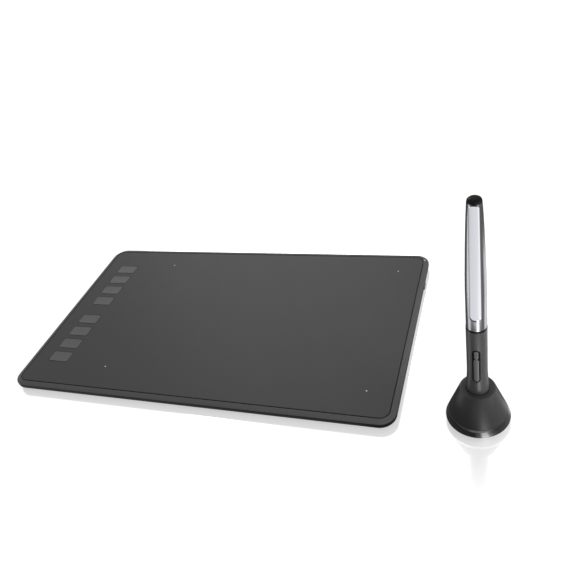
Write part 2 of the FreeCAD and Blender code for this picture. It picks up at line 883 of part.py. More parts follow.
def make_pen_nib():
    """Nib in the pen, free to slide into it."""
    return at_pen(nib_solid(0, 0, 0))


def make_pen_nose():
    """Screwed nose cone with the nib's hole and room for the antenna."""
    neck_radius = grip_bore_radius - inner_fit
    outside = turned([(0, nib_exposed), (nose_mouth_diameter / 2, nib_exposed),
                      (nose_end_diameter / 2, nose_end), (neck_radius, nose_end),
                      (neck_radius, nose_end + nose_neck), (0, nose_end + nose_neck)])
    room = coil_radius + inner_fit
    ream = nib_radius + nib_fit
    cone_start = ferrite_start - inner_fit
    inside = turned([(0, nib_exposed), (ream, nib_exposed), (ream, cone_start),
                     (nose_radius(cone_start) - nose_wall, cone_start),
                     (room, nose_end - nose_neck), (room, nose_end + nose_neck),
                     (0, nose_end + nose_neck)])
    return at_pen(outside.cut(inside))


def make_pen_grip():
    """Soft touch grip sleeve with the long slot for the buttons."""
    bore = disc(grip_bore_radius, nose_end, grip_top)
    seat = disc(collar_neck_radius + inner_fit, grip_top - collar_seat - inner_fit, grip_top)
    slot = stadium(slot_width + 2 * inner_fit, slot_length + 2 * inner_fit, slot_centre,
                   0, flare_diameter)
    return at_pen(cut_all(grip_outside(), [bore, seat, slot]))


def make_button_bezel():
    """Black frame round the two buttons, curved like the grip."""
    ring = stadium(slot_width, slot_length, slot_centre, grip_bore_radius, flare_diameter)
    inner = stadium(slot_width - 2 * bezel_wall, slot_length - 2 * bezel_wall, slot_centre,
                    0, flare_diameter)
    limit = disc(grip_diameter / 2 + bezel_projection, slot_low, slot_high)
    return at_pen(ring.cut(inner).common(limit))


def button_solid(low, high):
    """One button: a crowned bar with a flange behind the bezel and a foot above its switch."""
    front = grip_diameter / 2 + button_projection
    foot = switch_front + button_travel + switch_clearance
    middle = (low + high) / 2
    stem = stadium(button_width, high - low, middle, foot, flare_diameter)
    crown = disc(front, low, high)
    bar = stem.common(crown)
    half_flange = button_width / 2 + button_flange
    flange_front = math.sqrt(grip_bore_radius ** 2 - half_flange ** 2) - button_flange_clearance
    flange = block(-half_flange, half_flange, -flange_front,
                   button_flange_thickness - flange_front,
                   low + button_width / 2, high - button_width / 2)
    return fused([bar, flange])


def make_pen_button_upper():
    """Short upper button."""
    return at_pen(button_solid(button_split + button_clearance / 2, button_high))


def make_pen_button_lower():
    """Long lower button."""
    return at_pen(button_solid(button_low, button_split - button_clearance / 2))


def make_joint_collar():
    """Black threaded collar between the grip and the metal barrel."""
    flange = disc(collar_diameter / 2, grip_top, grip_top + collar_height)
    neck = disc(collar_neck_radius, grip_top - collar_seat,
                grip_top + collar_height + collar_thread)
    bore = disc(collar_bore_radius, grip_top - collar_seat,
                grip_top + collar_height + collar_thread)
    return at_pen(fused([flange, neck]).cut(bore))


def barrel_outside():
    """Outer form of the barrel: nearly straight over the battery, then tapered to the cap."""
    taper_start = cap_low - barrel_taper_drop
    lower = turned([(0, barrel_low), (barrel_foot_diameter / 2, barrel_low),
                    (barrel_diameter / 2, taper_start), (0, taper_start)])
    points = [(barrel_diameter / 2, taper_start),
              (barrel_shoulder_diameter / 2, cap_low - barrel_shoulder_drop),
              (barrel_mid_diameter / 2, cap_low - barrel_mid_drop),
              (barrel_upper_diameter / 2, cap_low - barrel_upper_drop),
              (barrel_top_diameter / 2, cap_low)]
    return fused([lower, turned_curve(points, upright_end=False)])


def make_upper_barrel():
    """Tapered metal barrel over the battery, with the slot that holds the clip."""
    thread_top = grip_top + collar_height + collar_thread + barrel_gap
    cuts = [disc(collar_neck_radius + barrel_fit, barrel_low, thread_top),
            disc(battery_bore_radius, barrel_low, barrel_battery_top),
            disc(barrel_upper_bore_radius, barrel_low, cap_low)]
    clear = clip_tab_clearance
    tab_top = cap_low - clip_tab_drop
    cuts.append(block(-clip_tab_width / 2 - clear, clip_tab_width / 2 + clear,
                      -barrel_diameter / 2, 0,
                      tab_top - clip_tab_height - clear, tab_top + clear))
    return at_pen(cut_all(barrel_outside(), cuts))


def make_end_cap():
    """Rounded black cap plugged into the barrel's top."""
    plug_radius = barrel_upper_bore_radius - cap_plug_fit
    side = Part.Arc(FreeCAD.Vector(barrel_top_diameter / 2, 0, cap_low),
                    FreeCAD.Vector(cap_shoulder_diameter / 2, 0, cap_low + cap_shoulder_height),
                    FreeCAD.Vector(cap_top_diameter / 2, 0, pen_length)).toShape()
    corners = [FreeCAD.Vector(cap_top_diameter / 2, 0, pen_length),
               FreeCAD.Vector(0, 0, pen_length),
               FreeCAD.Vector(0, 0, cap_low - cap_plug_length),
               FreeCAD.Vector(plug_radius, 0, cap_low - cap_plug_length),
               FreeCAD.Vector(plug_radius, 0, cap_low),
               FreeCAD.Vector(barrel_top_diameter / 2, 0, cap_low)]
    lines = [Part.makeLine(first, last) for first, last in zip(corners, corners[1:])]
    face = Part.Face(Part.Wire([side] + lines))
    return at_pen(face.revolve(FreeCAD.Vector(0, 0, 0), FreeCAD.Vector(0, 0, 1), 360))


def make_pen_clip():
    """Sprung metal clip: a tapered leaf with a rounded lower end, a bump and a tab."""
    top = cap_low
    round_radius = clip_bottom_width / 2
    straight_low = clip_bottom + round_radius
    half_top = clip_top_width / 2
    left_top = FreeCAD.Vector(-half_top, 0, top)
    right_top = FreeCAD.Vector(half_top, 0, top)
    left_low = FreeCAD.Vector(-round_radius, 0, straight_low)
    right_low = FreeCAD.Vector(round_radius, 0, straight_low)
    end = Part.Arc(right_low, FreeCAD.Vector(0, 0, clip_bottom), left_low).toShape()
    outline = Part.Wire([Part.makeLine(left_top, right_top), Part.makeLine(right_top, right_low),
                         end, Part.makeLine(left_low, left_top)])
    leaf = Part.Face(outline).extrude(FreeCAD.Vector(0, -clip_thickness, 0))
    outer_edges = [edge for edge in leaf.Edges
                   if abs(edge.BoundBox.YMin + clip_thickness) < edge_tolerance
                   and abs(edge.BoundBox.YMax + clip_thickness) < edge_tolerance]
    leaf = leaf.makeChamfer(clip_edge_bevel, outer_edges)
    lean = math.degrees(math.atan2(clip_bottom_y() - clip_top_y(), top - clip_bottom))
    leaf.rotate(FreeCAD.Vector(0, 0, top), FreeCAD.Vector(1, 0, 0), -lean)
    leaf.translate(FreeCAD.Vector(0, -clip_top_y(), 0))
    bump_z = clip_bottom + round_radius + clip_bump_height / 2
    bump_y = clip_bottom_y() - clip_bottom_gap + clip_bump_gap
    bump = block(-clip_bump_width / 2, clip_bump_width / 2, -clip_bottom_y() - clip_thickness / 2,
                 -bump_y, bump_z - clip_bump_height / 2, bump_z + clip_bump_height / 2)
    bump = bump.makeFillet(clip_bump_gap, [edge for edge in bump.Edges
                                           if abs(edge.BoundBox.YMin + bump_y) < edge_tolerance])
    tab_y = barrel_upper_diameter / 2 - clip_tab_depth
    tab = block(-clip_tab_width / 2, clip_tab_width / 2, -clip_top_y() - clip_thickness / 2,
                -tab_y, top - clip_tab_drop - clip_tab_height, top - clip_tab_drop)
    return at_pen(fused([leaf, bump, tab]))


def clip_top_y():
    """Distance of the clip's inner side from the pen's axis at its top."""
    return barrel_top_diameter / 2 + clip_top_gap


def clip_bottom_y():
    """Distance of the clip's inner side from the pen's axis at its lower end."""
    return barrel_diameter / 2 + clip_bottom_gap


def make_ferrite_core():
    """Ferrite tube round the nib."""
    return at_pen(tube(ferrite_radius, nib_radius + nib_fit, ferrite_start,
                       ferrite_start + ferrite_length))


def make_antenna_coil():
    """Winding on the ferrite tube, as one closed sleeve."""
    low = nose_end - nose_neck + coil_end_gap
    high = ferrite_start + ferrite_length - coil_end_gap / 2
    return at_pen(tube(coil_radius, ferrite_radius + inner_fit, low, high))


def make_pressure_sensor():
    """Pressure sensor behind the nib."""
    low = nib_length + nib_travel + inner_fit
    return at_pen(disc(sensor_module_radius, low, low + sensor_module_length))


def make_pen_chassis():
    """Inner carrier tube with a window behind the buttons."""
    outer = grip_bore_radius - inner_fit
    body = tube(outer, outer - chassis_wall, chassis_start, chassis_end)
    window = block(-outer, outer, -outer, -pen_board_front / 2,
                   slot_low - window_margin, slot_high + window_margin)
    seat_low = nib_length + nib_travel + inner_fit
    seat = tube(outer - chassis_wall, sensor_module_radius + inner_fit, seat_low,
                seat_low + sensor_module_length)
    return at_pen(fused([body, seat]).cut(window))


def make_pen_board():
    """Narrow circuit board along the pen."""
    low = nib_length + nib_travel + 2 * inner_fit + sensor_module_length
    return at_pen(block(-pen_board_width / 2, pen_board_width / 2, -pen_board_front,
                        pen_board_thickness - pen_board_front, low, chassis_end))


def make_pen_switches():
    """The two side switches under the buttons."""
    centres = [(button_split + button_high) / 2, (button_low + button_split) / 2]
    half = pen_switch_size / 2
    return at_pen(Part.makeCompound([
        block(-half, half, -switch_front, -pen_board_front, z - half, z + half)
        for z in centres]))


def make_battery():
    """Round cell with its raised terminal at the top."""
    body = disc(battery_radius, battery_low, battery_top - battery_nub_height)
    nub = disc(battery_nub_radius, battery_top - battery_nub_height, battery_top)
    return at_pen(fused([body, nub]))


def make_battery_contact_lower():
    """Contact plate between the carrier and the battery."""
    return at_pen(disc(grip_bore_radius - inner_fit, chassis_end, chassis_end + contact_thickness))


def make_battery_contact_upper():
    """Contact plate in the barrel with a raised middle towards the battery's terminal."""
    plate_low = barrel_battery_top - contact_thickness
    plate = disc(battery_bore_radius - inner_fit, plate_low, barrel_battery_top)
    bump = disc(contact_bump_radius, battery_top + 2 * inner_fit, plate_low)
    return at_pen(fused([plate, bump]))


single_pieces = {
    "top_frame": make_top_frame,
    "face_panel": make_face_panel,
    "bottom_cover": make_bottom_cover,
    "key_board": make_key_board,
    "sensor_board": make_sensor_board,
    "shield_plate": make_shield_plate,
    "main_board": make_main_board,
    "key_ribbon": make_key_ribbon,
    "sensor_ribbon": make_sensor_ribbon,
    "usb_shell": make_usb_shell,
    "usb_insert": make_usb_insert,
    "status_light": make_status_light,
    "cover_screws": make_cover_screws,
    "stand_base": make_stand_base,
    "stand_band": make_stand_band,
    "stand_cone": make_stand_cone,
    "stand_pad": make_stand_pad,
    "nib_tray": make_nib_tray,
    "nib_puller": make_nib_puller,
    "spare_nibs": make_spare_nibs,
    "pen_nib": make_pen_nib,
    "pen_nose": make_pen_nose,
    "pen_grip": make_pen_grip,
    "button_bezel": make_button_bezel,
    "pen_button_upper": make_pen_button_upper,
    "pen_button_lower": make_pen_button_lower,
    "joint_collar": make_joint_collar,
    "upper_barrel": make_upper_barrel,
    "end_cap": make_end_cap,
    "pen_clip": make_pen_clip,
    "ferrite_core": make_ferrite_core,
    "antenna_coil": make_antenna_coil,
    "pressure_sensor": make_pressure_sensor,
    "pen_chassis": make_pen_chassis,
    "pen_board": make_pen_board,
    "pen_switches": make_pen_switches,
    "battery": make_battery,
    "battery_contact_lower": make_battery_contact_lower,
    "battery_contact_upper": make_battery_contact_upper,
}


def all_pieces():
    """Every node's name and shape."""
    for name, make in single_pieces.items():
        yield name, make()
    for number, y in enumerate(key_centres(), start=1):
        yield f"key_{number}", make_key(y)
    switches = Part.makeCompound([make_key_switch(y) for y in key_centres()])
    yield "key_switches", switches
    for number, (x, y) in enumerate(foot_centres(), start=1):
        yield f"rubber_foot_{number}", make_foot(x, y)


os.makedirs("parts", exist_ok=True)
for name, shape in all_pieces():
    shape.exportStep(f"parts/{name}.step")
    low, high = shape.BoundBox.ZMin, shape.BoundBox.ZMax
    print(f"{name}: {len(shape.Solids)} solid(s), valid {shape.isValid()}, "
          f"volume {shape.Volume:.1f}, z {low:.2f} to {high:.2f}")
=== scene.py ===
import math
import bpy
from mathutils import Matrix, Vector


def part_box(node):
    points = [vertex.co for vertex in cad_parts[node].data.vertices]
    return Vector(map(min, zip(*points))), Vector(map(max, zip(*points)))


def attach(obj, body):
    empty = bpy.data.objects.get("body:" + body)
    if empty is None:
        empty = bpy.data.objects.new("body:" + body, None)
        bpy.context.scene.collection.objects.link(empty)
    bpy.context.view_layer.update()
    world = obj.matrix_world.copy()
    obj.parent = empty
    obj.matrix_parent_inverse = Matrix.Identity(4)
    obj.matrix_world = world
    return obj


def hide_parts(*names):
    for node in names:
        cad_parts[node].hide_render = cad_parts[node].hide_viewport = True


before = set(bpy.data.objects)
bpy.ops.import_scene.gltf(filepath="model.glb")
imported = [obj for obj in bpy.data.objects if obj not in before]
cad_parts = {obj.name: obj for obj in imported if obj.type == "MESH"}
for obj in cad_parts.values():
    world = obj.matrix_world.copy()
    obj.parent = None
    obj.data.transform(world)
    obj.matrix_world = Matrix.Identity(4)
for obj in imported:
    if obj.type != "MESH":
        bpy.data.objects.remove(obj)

from types import SimpleNamespace

import bmesh
import bpy
from bmesh.types import BMEdge, BMFace, BMVert
from bpy.props import FloatProperty, FloatVectorProperty, PointerProperty
from mathutils import Matrix, Quaternion, Vector

bl_info = {
    "name": "Drawing Tablet Set",
    "version": (1, 0, 0),
    "blender": (4, 5, 0),
    "location": "3D View > Sidebar > Tablet Set",
    "description": "Pieces, finishes and studio of a drawing tablet with its pen and pen stand",
    "category": "Object",
}

# Shapes are modelled in millimetres on the frame's axes, and are scaled to metres when settled.
MILLIMETRE = 0.001
CORNER_STEPS = 14
ROUND_STEPS = 4
TURN_STEPS = 112
MERGE_GAP = 1e-4
PLAY = 0.05              # clearance round a fitted piece
BARREL_TOP = 4.05        # radius of the barrel under the cap
BARREL_WAIST = 5.975     # radius of the barrel above the collar
KEYS = range(1, 9)
FEET = range(1, 5)
FLOOR_REACH = 6.0        # metres each way from the middle
WHITE = (1.0, 1.0, 1.0, 1.0)
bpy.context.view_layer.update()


def length(name, millimetres, description):
    """Length property whose default is given in millimetres."""
    return FloatProperty(name=name, description=description, default=millimetres * MILLIMETRE,
                         min=0.0, precision=5, unit="LENGTH")


def angle(name, degrees, description):
    """Angle property whose default is given in degrees."""
    return FloatProperty(name=name, description=description, default=math.radians(degrees),
                         subtype="ANGLE")


def power(name, watts, description):
    """Power property of a lamp."""
    return FloatProperty(name=name, description=description, default=watts, min=0.0,
                         precision=4, unit="POWER")


def share(name, value, description, most=1.0):
    """Plain number property between nothing and a highest value."""
    return FloatProperty(name=name, description=description, default=value, min=0.0, max=most)


def colour(name, value, description):
    """Colour property, in linear light."""
    return FloatVectorProperty(name=name, description=description, default=value, size=3,
                               min=0.0, max=1.0, subtype="COLOR")


class TabletSizes(bpy.types.PropertyGroup):
    """Sizes of the tablet's outer pieces."""
    corner_radius: length("Corner radius", 12.0, "Radius of the outline's four corners")
    bevel_width: length("Rim bevel width", 3.6, "Width of the sloping rim, seen from above")
    bevel_drop: length("Rim bevel drop", 1.4, "How far the rim slopes down to the outline")
    edge_land: length("Rim edge land", 0.3, "Height of the rim's upright outer edge")
    crest_width: length("Crest width", 0.5, "Width of the flat crest inside the bevel")
    shelf_width: length("Shelf width", 7.0, "How far the frame reaches under the face panel")
    shelf_thickness: length("Shelf thickness", 1.2, "Thickness of the frame under the panel")
    tongue_inset: length("Tongue inset", 1.7, "Distance from the outline to the locating tongue")
    tongue_thickness: length("Tongue thickness", 1.1, "Thickness of the locating tongue")
    tongue_length: length("Tongue length", 0.5, "How far the tongue reaches into the lower case")
    soft_edge: length("Soft edge", 0.22, "Rounding of the moulded edges that catch the light")
    lower_round: length("Lower edge radius", 3.6, "Rounding of the lower case's bottom edge")
    wall: length("Case wall", 1.6, "Thickness of the lower case's side wall")
    floor: length("Case floor", 1.4, "Thickness of the lower case's floor")
    key_corner: length("Key corner", 2.0, "Radius of the key caps' corners")
    key_gap: length("Key gap", 0.25, "Gap round each key cap")
    key_flange: length("Key flange", 0.9, "How far the hidden flange stands out round a key")
    key_flange_height: length("Key flange height", 0.7, "Thickness of the hidden flange")
    key_round: length("Key edge round", 0.35, "Rounding of the key caps' upper edge")
    key_dish: length("Key dish", 0.06, "Depth of the key caps' shallow dish")
    mark_radius: length("Corner mark radius", 0.45, "Radius of the drawing area's corner dots")
    foot_corner: length("Foot corner", 4.0, "Radius of the rubber feet's corners")
    foot_recess: length("Foot recess", 0.5, "Depth of the recess that holds a foot")
    light_radius: length("Status light radius", 0.6, "Radius of the status light")


class StandSizes(bpy.types.PropertyGroup):
    """Sizes of the pen stand's outer pieces."""
    foot_radius: length("Foot radius", 17.5, "Radius of the base where it meets the table")
    widest_height: length("Widest height", 4.5, "Height at which the stand is widest")
    top_radius: length("Top radius", 11.1, "Radius of the tapered side at the very top")
    top_round: length("Top round", 0.8, "Rounding of the stand's upper edge")
    band_wall: length("Band wall", 1.5, "Thickness of the glossy band")
    soft_edge: length("Soft edge", 0.08, "Rounding of the small moulded edges")


class PenSizes(bpy.types.PropertyGroup):
    """Sizes of the pen's outer pieces."""
    facing: angle("Facing", 0.0, "Turn of the buttons and clip from the front")
    slot_width: length("Slot width", 4.8, "Width of the black frame round the buttons")
    slot_wall: length("Slot frame wall", 0.65, "Width of the black frame's rim")
    button_width: length("Button width", 3.1, "Width of the lower button")
    upper_button_width: length("Upper button width", 2.5, "Width of the short upper button")
    clip_thickness: length("Clip thickness", 0.9, "Thickness of the clip's leaf")
    clip_top_width: length("Clip top width", 5.6, "Width of the clip under the cap")
    clip_low_width: length("Clip lower width", 6.7, "Width of the clip at its rounded end")
    clip_bevel: length("Clip bevel", 0.7, "Width of the bright bevel along the clip's edges")
    clip_bevel_drop: length("Clip bevel drop", 0.15, "Depth of the bevel along the clip's edges")
    clip_end_bevel: length("Clip end bevel", 1.5, "Length of the bevel at the clip's round end")
    clip_end_drop: length("Clip end drop", 0.6, "Added depth of the bevel at the round end")
    clip_end_stretch: share("Clip end stretch", 1.3, "Height of the round end against a circle",
                            2.0)


class Finishes(bpy.types.PropertyGroup):
    """Colours and gloss of the outer pieces."""
    rim: colour("Rim", (0.061, 0.061, 0.062), "Plastic of the bevelled rim")
    case: colour("Lower case", (0.016, 0.016, 0.0165), "Plastic of the lower case")
    face: colour("Face", (0.046, 0.0445, 0.045), "Soft plastic of the drawing face")
    keys: colour("Keys", (0.08, 0.08, 0.081), "Plastic of the eight keys")
    marks: colour("Corner marks", (0.9, 0.9, 0.9), "Ink of the drawing area's corner dots")
    rubber: colour("Rubber", (0.02, 0.02, 0.021), "Rubber of the feet and the stand's ring")
    stand: colour("Stand", (0.027, 0.027, 0.027), "Satin plastic of the stand")
    band: colour("Stand band", (0.01, 0.01, 0.01), "Glossy plastic of the stand's band")
    grip: colour("Grip", (0.05, 0.05, 0.049), "Soft plastic of the pen's grip")
    bezel: colour("Button frame", (0.003, 0.003, 0.003), "Glossy frame round the buttons")
    buttons: colour("Buttons", (0.12, 0.12, 0.12), "Plastic of the two buttons")
    barrel: colour("Barrel", (0.66, 0.665, 0.7), "Silver of the pen's barrel")
    clip: colour("Clip", (0.74, 0.745, 0.79), "Silver of the pen's clip")
    cap: colour("End cap", (0.005, 0.005, 0.0055), "Glossy plastic of the end cap and the collar")


class StudioSettings(bpy.types.PropertyGroup):
    """Camera, lamps and surroundings."""
    azimuth: angle("Camera azimuth", 25.8, "Turn of the camera to the right")
    elevation: angle("Camera elevation", 37.0, "Height of the camera's view")
    roll: angle("Camera roll", 14.1, "Tilt of the picture to the left")
    distance: length("Camera distance", 540.0, "Distance from the camera to the point it faces")
    aim: FloatVectorProperty(name="Aim", description="Point that the camera faces", size=3,
                             default=(0.0133, 0.0298, 0.02), subtype="TRANSLATION")
    lens: FloatProperty(name="Lens", description="Focal length in millimetres on a 36 mm sensor",
                        default=39.6, min=10.0)
    card_turn: angle("Card turn", 4.7, "Turn of the cards round the pen")
    floor_white: share("Floor white", 0.45, "How much light the floor gives back")
    floor_lift: share("Floor lift", 0.66, "Light that the floor adds for the camera alone")
    floor_gloss: share("Floor gloss", 0.6, "Share of mirror in the floor near the set")
    gloss_reach: length("Gloss reach", 75.0, "Distance from the set at which the mirror fades")
    sky_gloss: share("Sky gloss", 0.55, "How bright the upper surroundings look in gloss")
    fill: share("Fill", 0.4, "Even light from all round")
    sun_power: share("Overhead light", 1.2, "Strength of the wide light overhead", 10.0)
    front_watts: power("Front softbox", 0.5, "Power of the front right softbox")
    back_watts: power("Back softbox", 1.5, "Power of the softbox behind")
    side_watts: power("Side softbox", 1.3, "Power of the low softbox at the stand's right")
    narrow_watts: power("Narrow softbox", 0.0042, "Power of the softbox by the pen")


# Finishes -----------------------------------------------------------------


def overload(operation, reflected=False):
    """Operator of a wire that adds one Math node."""
    def apply(self, other):
        return self.bench.maths(operation, *((other, self) if reflected else (self, other)))
    return apply


class Wire:
    """One output in a node tree. Sums with wires and numbers add Math nodes."""

    def __init__(self, bench, socket):
        self.bench = bench
        self.socket = socket

    __add__, __radd__ = overload("ADD"), overload("ADD", True)
    __sub__, __rsub__ = overload("SUBTRACT"), overload("SUBTRACT", True)
    __mul__, __rmul__ = overload("MULTIPLY"), overload("MULTIPLY", True)
    __truediv__, __pow__ = overload("DIVIDE"), overload("POWER")
    __gt__, __lt__ = overload("GREATER_THAN"), overload("LESS_THAN")


class Bench:
    """A node tree under construction."""

    def __init__(self, tree):
        self.tree = tree

    def feed(self, socket, value):
        """Link a wire to a socket, or set the socket's own value."""
        if isinstance(value, Wire):
            self.tree.links.new(value.socket, socket)
        else:
            socket.default_value = value

    def node(self, kind, settings=None, values=(), output=0):
        """Add a node: its settings come first, then its sockets. Gives one of its outputs."""
        made = self.tree.nodes.new(kind)
        for name, value in (settings or {}).items():
            if name == "stops":
                self.set_stops(made.color_ramp.elements, value)
            else:
                setattr(made, name, value)
        pairs = values.items() if isinstance(values, dict) else enumerate(values)
        for key, value in pairs:
            self.feed(made.inputs[key], value)
        return Wire(self, made.outputs[output]) if made.outputs else None

    def set_stops(self, elements, stops):
        """Give a colour ramp its (position, grey level) stops."""
        while len(elements) < len(stops):
            elements.new(1.0)
        for element, (position, level) in zip(elements, stops):
            element.position = position
            element.color = (level, level, level, 1.0)

    def maths(self, operation, *values):
        """Add one Math node and give its result."""
        return self.node("ShaderNodeMath", {"operation": operation}, values)

    def blend(self, mask, first, second):
        """Colour between two colours or colour wires."""
        first, second = (value if isinstance(value, Wire) else (*value, 1.0)
                         for value in (first, second))
        return self.node("ShaderNodeMix", {"data_type": "RGBA"}, {0: mask, 6: first, 7: second}, 2)

    def ramp(self, value, stops):
        """Grey level read off a smooth ramp of (position, level) stops."""
        level = self.node("ShaderNodeValToRGB", {"stops": stops}, [value])
        level.socket.node.color_ramp.interpolation = "EASE"
        return level

    def parts(self, vector):
        """The three numbers of a vector."""
        first = self.node("ShaderNodeSeparateXYZ", None, [vector])
        return [Wire(self, output) for output in first.socket.node.outputs]


class Finish(Bench):
    """One procedural material on a Principled shader."""

    def __init__(self, name, **constants):
        self.material = bpy.data.materials.new(name)
        self.material.use_nodes = True
        super().__init__(self.material.node_tree)
        self.shader = self.tree.nodes["Principled BSDF"]
        for label, value in constants.items():
            self.shader.inputs[label.replace("_", " ")].default_value = value

    def put(self, label, value):
        """Feed one of the shader's sockets."""
        self.feed(self.shader.inputs[label], value)

    def place(self, scale=(1.0, 1.0, 1.0), turn=(0.0, 0.0, 0.0)):
        """Object coordinates, turned and scaled."""
        point = self.node("ShaderNodeTexCoord", output=3)
        return self.node("ShaderNodeMapping", {"vector_type": "TEXTURE"},
                         {"Vector": point, "Rotation": turn,
                          "Scale": tuple(1.0 / part for part in scale)})

    def noise(self, place, scale, detail=2.0, roughness=0.5):
        """Noise from 0 to 1."""
        return self.node("ShaderNodeTexNoise", None,
                         {"Vector": place, "Scale": scale, "Detail": detail,
                          "Roughness": roughness})

    def cells(self, place, scale):
        """Distance to the nearest point of a scatter of points."""
        return self.node("ShaderNodeTexVoronoi", None, {"Vector": place, "Scale": scale})

    def stripes(self, place, scale, direction="Z"):
        """Sine bands from 0 to 1 along an axis."""
        return self.node("ShaderNodeTexWave", {"bands_direction": direction},
                         {"Vector": place, "Scale": scale})

    def tint(self, mask, tone, first, second):
        """Base colour that runs between two shares of a tone."""
        self.put("Base Color", self.blend(mask, shade(tone, first), shade(tone, second)))

    def done(self, roughness, height, depth):
        """Feed the roughness and a relief with its depth in metres, and give the material."""
        self.put("Roughness", roughness)
        self.put("Normal", self.node("ShaderNodeBump", None, {"Distance": depth, "Height": height}))
        return self.material


def shade(tone, factor):
    """A colour made lighter or darker."""
    return tuple(min(1.0, part * factor) for part in tone)


def finished(make):
    """A recipe's material is made once, and is then found by its name."""
    def recipe(name, *details, **more):
        return bpy.data.materials.get(name) or make(name, *details, **more)
    return recipe


@finished
def moulded(name, tone, gloss, grain=1400.0, depth=0.00002, level=0.5):
    """Moulded plastic: fine spark grain, faint clouds of tone and slightly uneven gloss."""
    finish = Finish(name, Specular_IOR_Level=level)
    place = finish.place()
    clouds = finish.noise(place, 28.0, 3.0)
    speck = finish.noise(place, grain, 3.0, 0.6)
    finish.tint(clouds * 0.7 + speck * 0.3, tone, 0.94, 1.06)
    return finish.done(gloss + (clouds - 0.5) * 0.08 + (speck - 0.5) * 0.06, speck, depth)


@finished
def soft_touch(name, tone, gloss, level):
    """Soft drawing surface: a paper-like tooth with faint wiping marks."""
    finish = Finish(name, Specular_IOR_Level=level)
    place = finish.place()
    tooth = finish.noise(place, 2600.0, 4.0, 0.7)
    clouds = finish.noise(place, 9.0, 2.0)
    wipe = finish.noise(finish.place((60.0, 4.0, 1.0), (0.0, 0.0, 0.5)), 1.0, 3.0)
    finish.tint(tooth * 0.35 + clouds * 0.65, tone, 0.95, 1.05)
    return finish.done(gloss + (wipe - 0.5) * 0.05 + (tooth - 0.5) * 0.08, tooth, 0.00003)


@finished
def rubber(name, tone):
    """Matt rubber with a pitted skin and patches of pale dust."""
    finish = Finish(name, Specular_IOR_Level=0.25)
    place = finish.place()
    pits = finish.cells(place, 1800.0)
    dust = finish.noise(place, 220.0, 4.0, 0.65)
    finish.tint(dust * 0.5, tone, 1.0, 2.2)
    return finish.done(0.72 + dust * 0.2, pits, 0.00004)


@finished
def lacquer(name, tone, gloss=0.08, coat=1.0):
    """Glossy moulded plastic with a very slight waviness and hair scratches."""
    finish = Finish(name, Coat_Weight=coat, Coat_Roughness=0.03, Coat_IOR=1.7,
                    Specular_IOR_Level=coat * 0.5)
    wave = finish.noise(finish.place(), 160.0, 2.0)
    hair = finish.noise(finish.place((900.0, 900.0, 40.0)), 1.0, 2.0)
    finish.tint(wave, tone, 0.85, 1.15)
    return finish.done(gloss + hair * 0.06, wave, 0.000004)


@finished
def satin_metal(name, tone, gloss, marks=(1500.0, 1500.0, 30.0)):
    """Bead blasted and lacquered metal, with fine marks along one direction."""
    finish = Finish(name, Metallic=1.0)
    grain = finish.noise(finish.place(marks), 1.0, 3.0, 0.6)
    clouds = finish.noise(finish.place(), 45.0, 3.0)
    finish.tint(grain * 0.6 + clouds * 0.4, tone, 0.95, 1.05)
    return finish.done(gloss + (grain - 0.5) * 0.1 + (clouds - 0.5) * 0.05, grain, 0.000003)


@finished
def plated(name, tone, gloss=0.28):
    """Plated or stamped metal with dull patches."""
    finish = Finish(name, Metallic=1.0)
    patch = finish.ramp(finish.noise(finish.place(), 420.0, 4.0, 0.6), [(0.4, 0.0), (0.7, 1.0)])
    finish.tint(patch, tone, 1.0, 0.75)
    return finish.done(gloss + patch * 0.2, patch, 0.000004)


@finished
def circuit(name, tone):
    """Circuit board: lacquered green with copper tracks under the lacquer and bare pads."""
    finish = Finish(name, Coat_Weight=0.4, Coat_Roughness=0.12)
    per_metre = 260.0
    place = finish.place((per_metre,) * 3)
    across, along, _ = finish.parts(place)
    lanes = finish.maths("FRACT", across + 100.0)
    steps = finish.maths("FRACT", along * 0.5 + 100.0)
    tracks = (lanes > 0.7) * (finish.noise(place, 0.35, 0.0) > 0.47)
    pads = (lanes < 0.34) * (steps < 0.3) * (finish.noise(place, 0.2, 0.0) > 0.54)
    lacquered = finish.blend(tracks, tone, shade(tone, 1.7))
    finish.put("Base Color", finish.blend(pads, lacquered, (0.72, 0.66, 0.5)))
    finish.put("Metallic", pads * 0.9)
    return finish.done(0.35 - pads * 0.1, tracks + pads, 0.00003)


@finished
def film(name, tone):
    """Flat cable: copper tracks that show through an amber film."""
    finish = Finish(name, Coat_Weight=0.5, Coat_Roughness=0.15)
    tracks = finish.stripes(finish.place(), 1250.0 / math.tau, "Y")
    line = finish.ramp(tracks, [(0.45, 0.0), (0.6, 1.0)])
    finish.tint(line, tone, 0.55, 1.5)
    finish.put("Metallic", line * 0.5)
    return finish.done(0.38 - line * 0.1, line, 0.00003)


@finished
def winding(name, tone, pitch=0.00022):
    """Enamelled copper wire wound up the pen in close coils, at a pitch in metres. The colour holds
    painted shade in the grooves between coils and a painted highlight on each coil's crown.
    """
    finish = Finish(name, Metallic=0.9)
    place = finish.place()
    coil_relief_and_painted_shade = finish.stripes(place, 1.0 / (pitch * math.pi))
    age = finish.noise(place, 500.0, 3.0)
    # painted shade between the coils, painted highlight on their crowns
    finish.tint(coil_relief_and_painted_shade, tone, 0.35, 1.2)
    return finish.done(0.25 + age * 0.25, coil_relief_and_painted_shade, 0.00008)


@finished
def sintered(name, tone):
    """Ferrite and ceramic: a dense grey powder pressed hard."""
    finish = Finish(name)
    place = finish.place()
    powder = finish.noise(place, 4200.0, 5.0, 0.75)
    chips = finish.cells(place, 900.0)
    finish.tint(powder, tone, 0.75, 1.4)
    return finish.done(0.42 + powder * 0.25, powder * 0.7 + chips * 0.3, 0.00002)


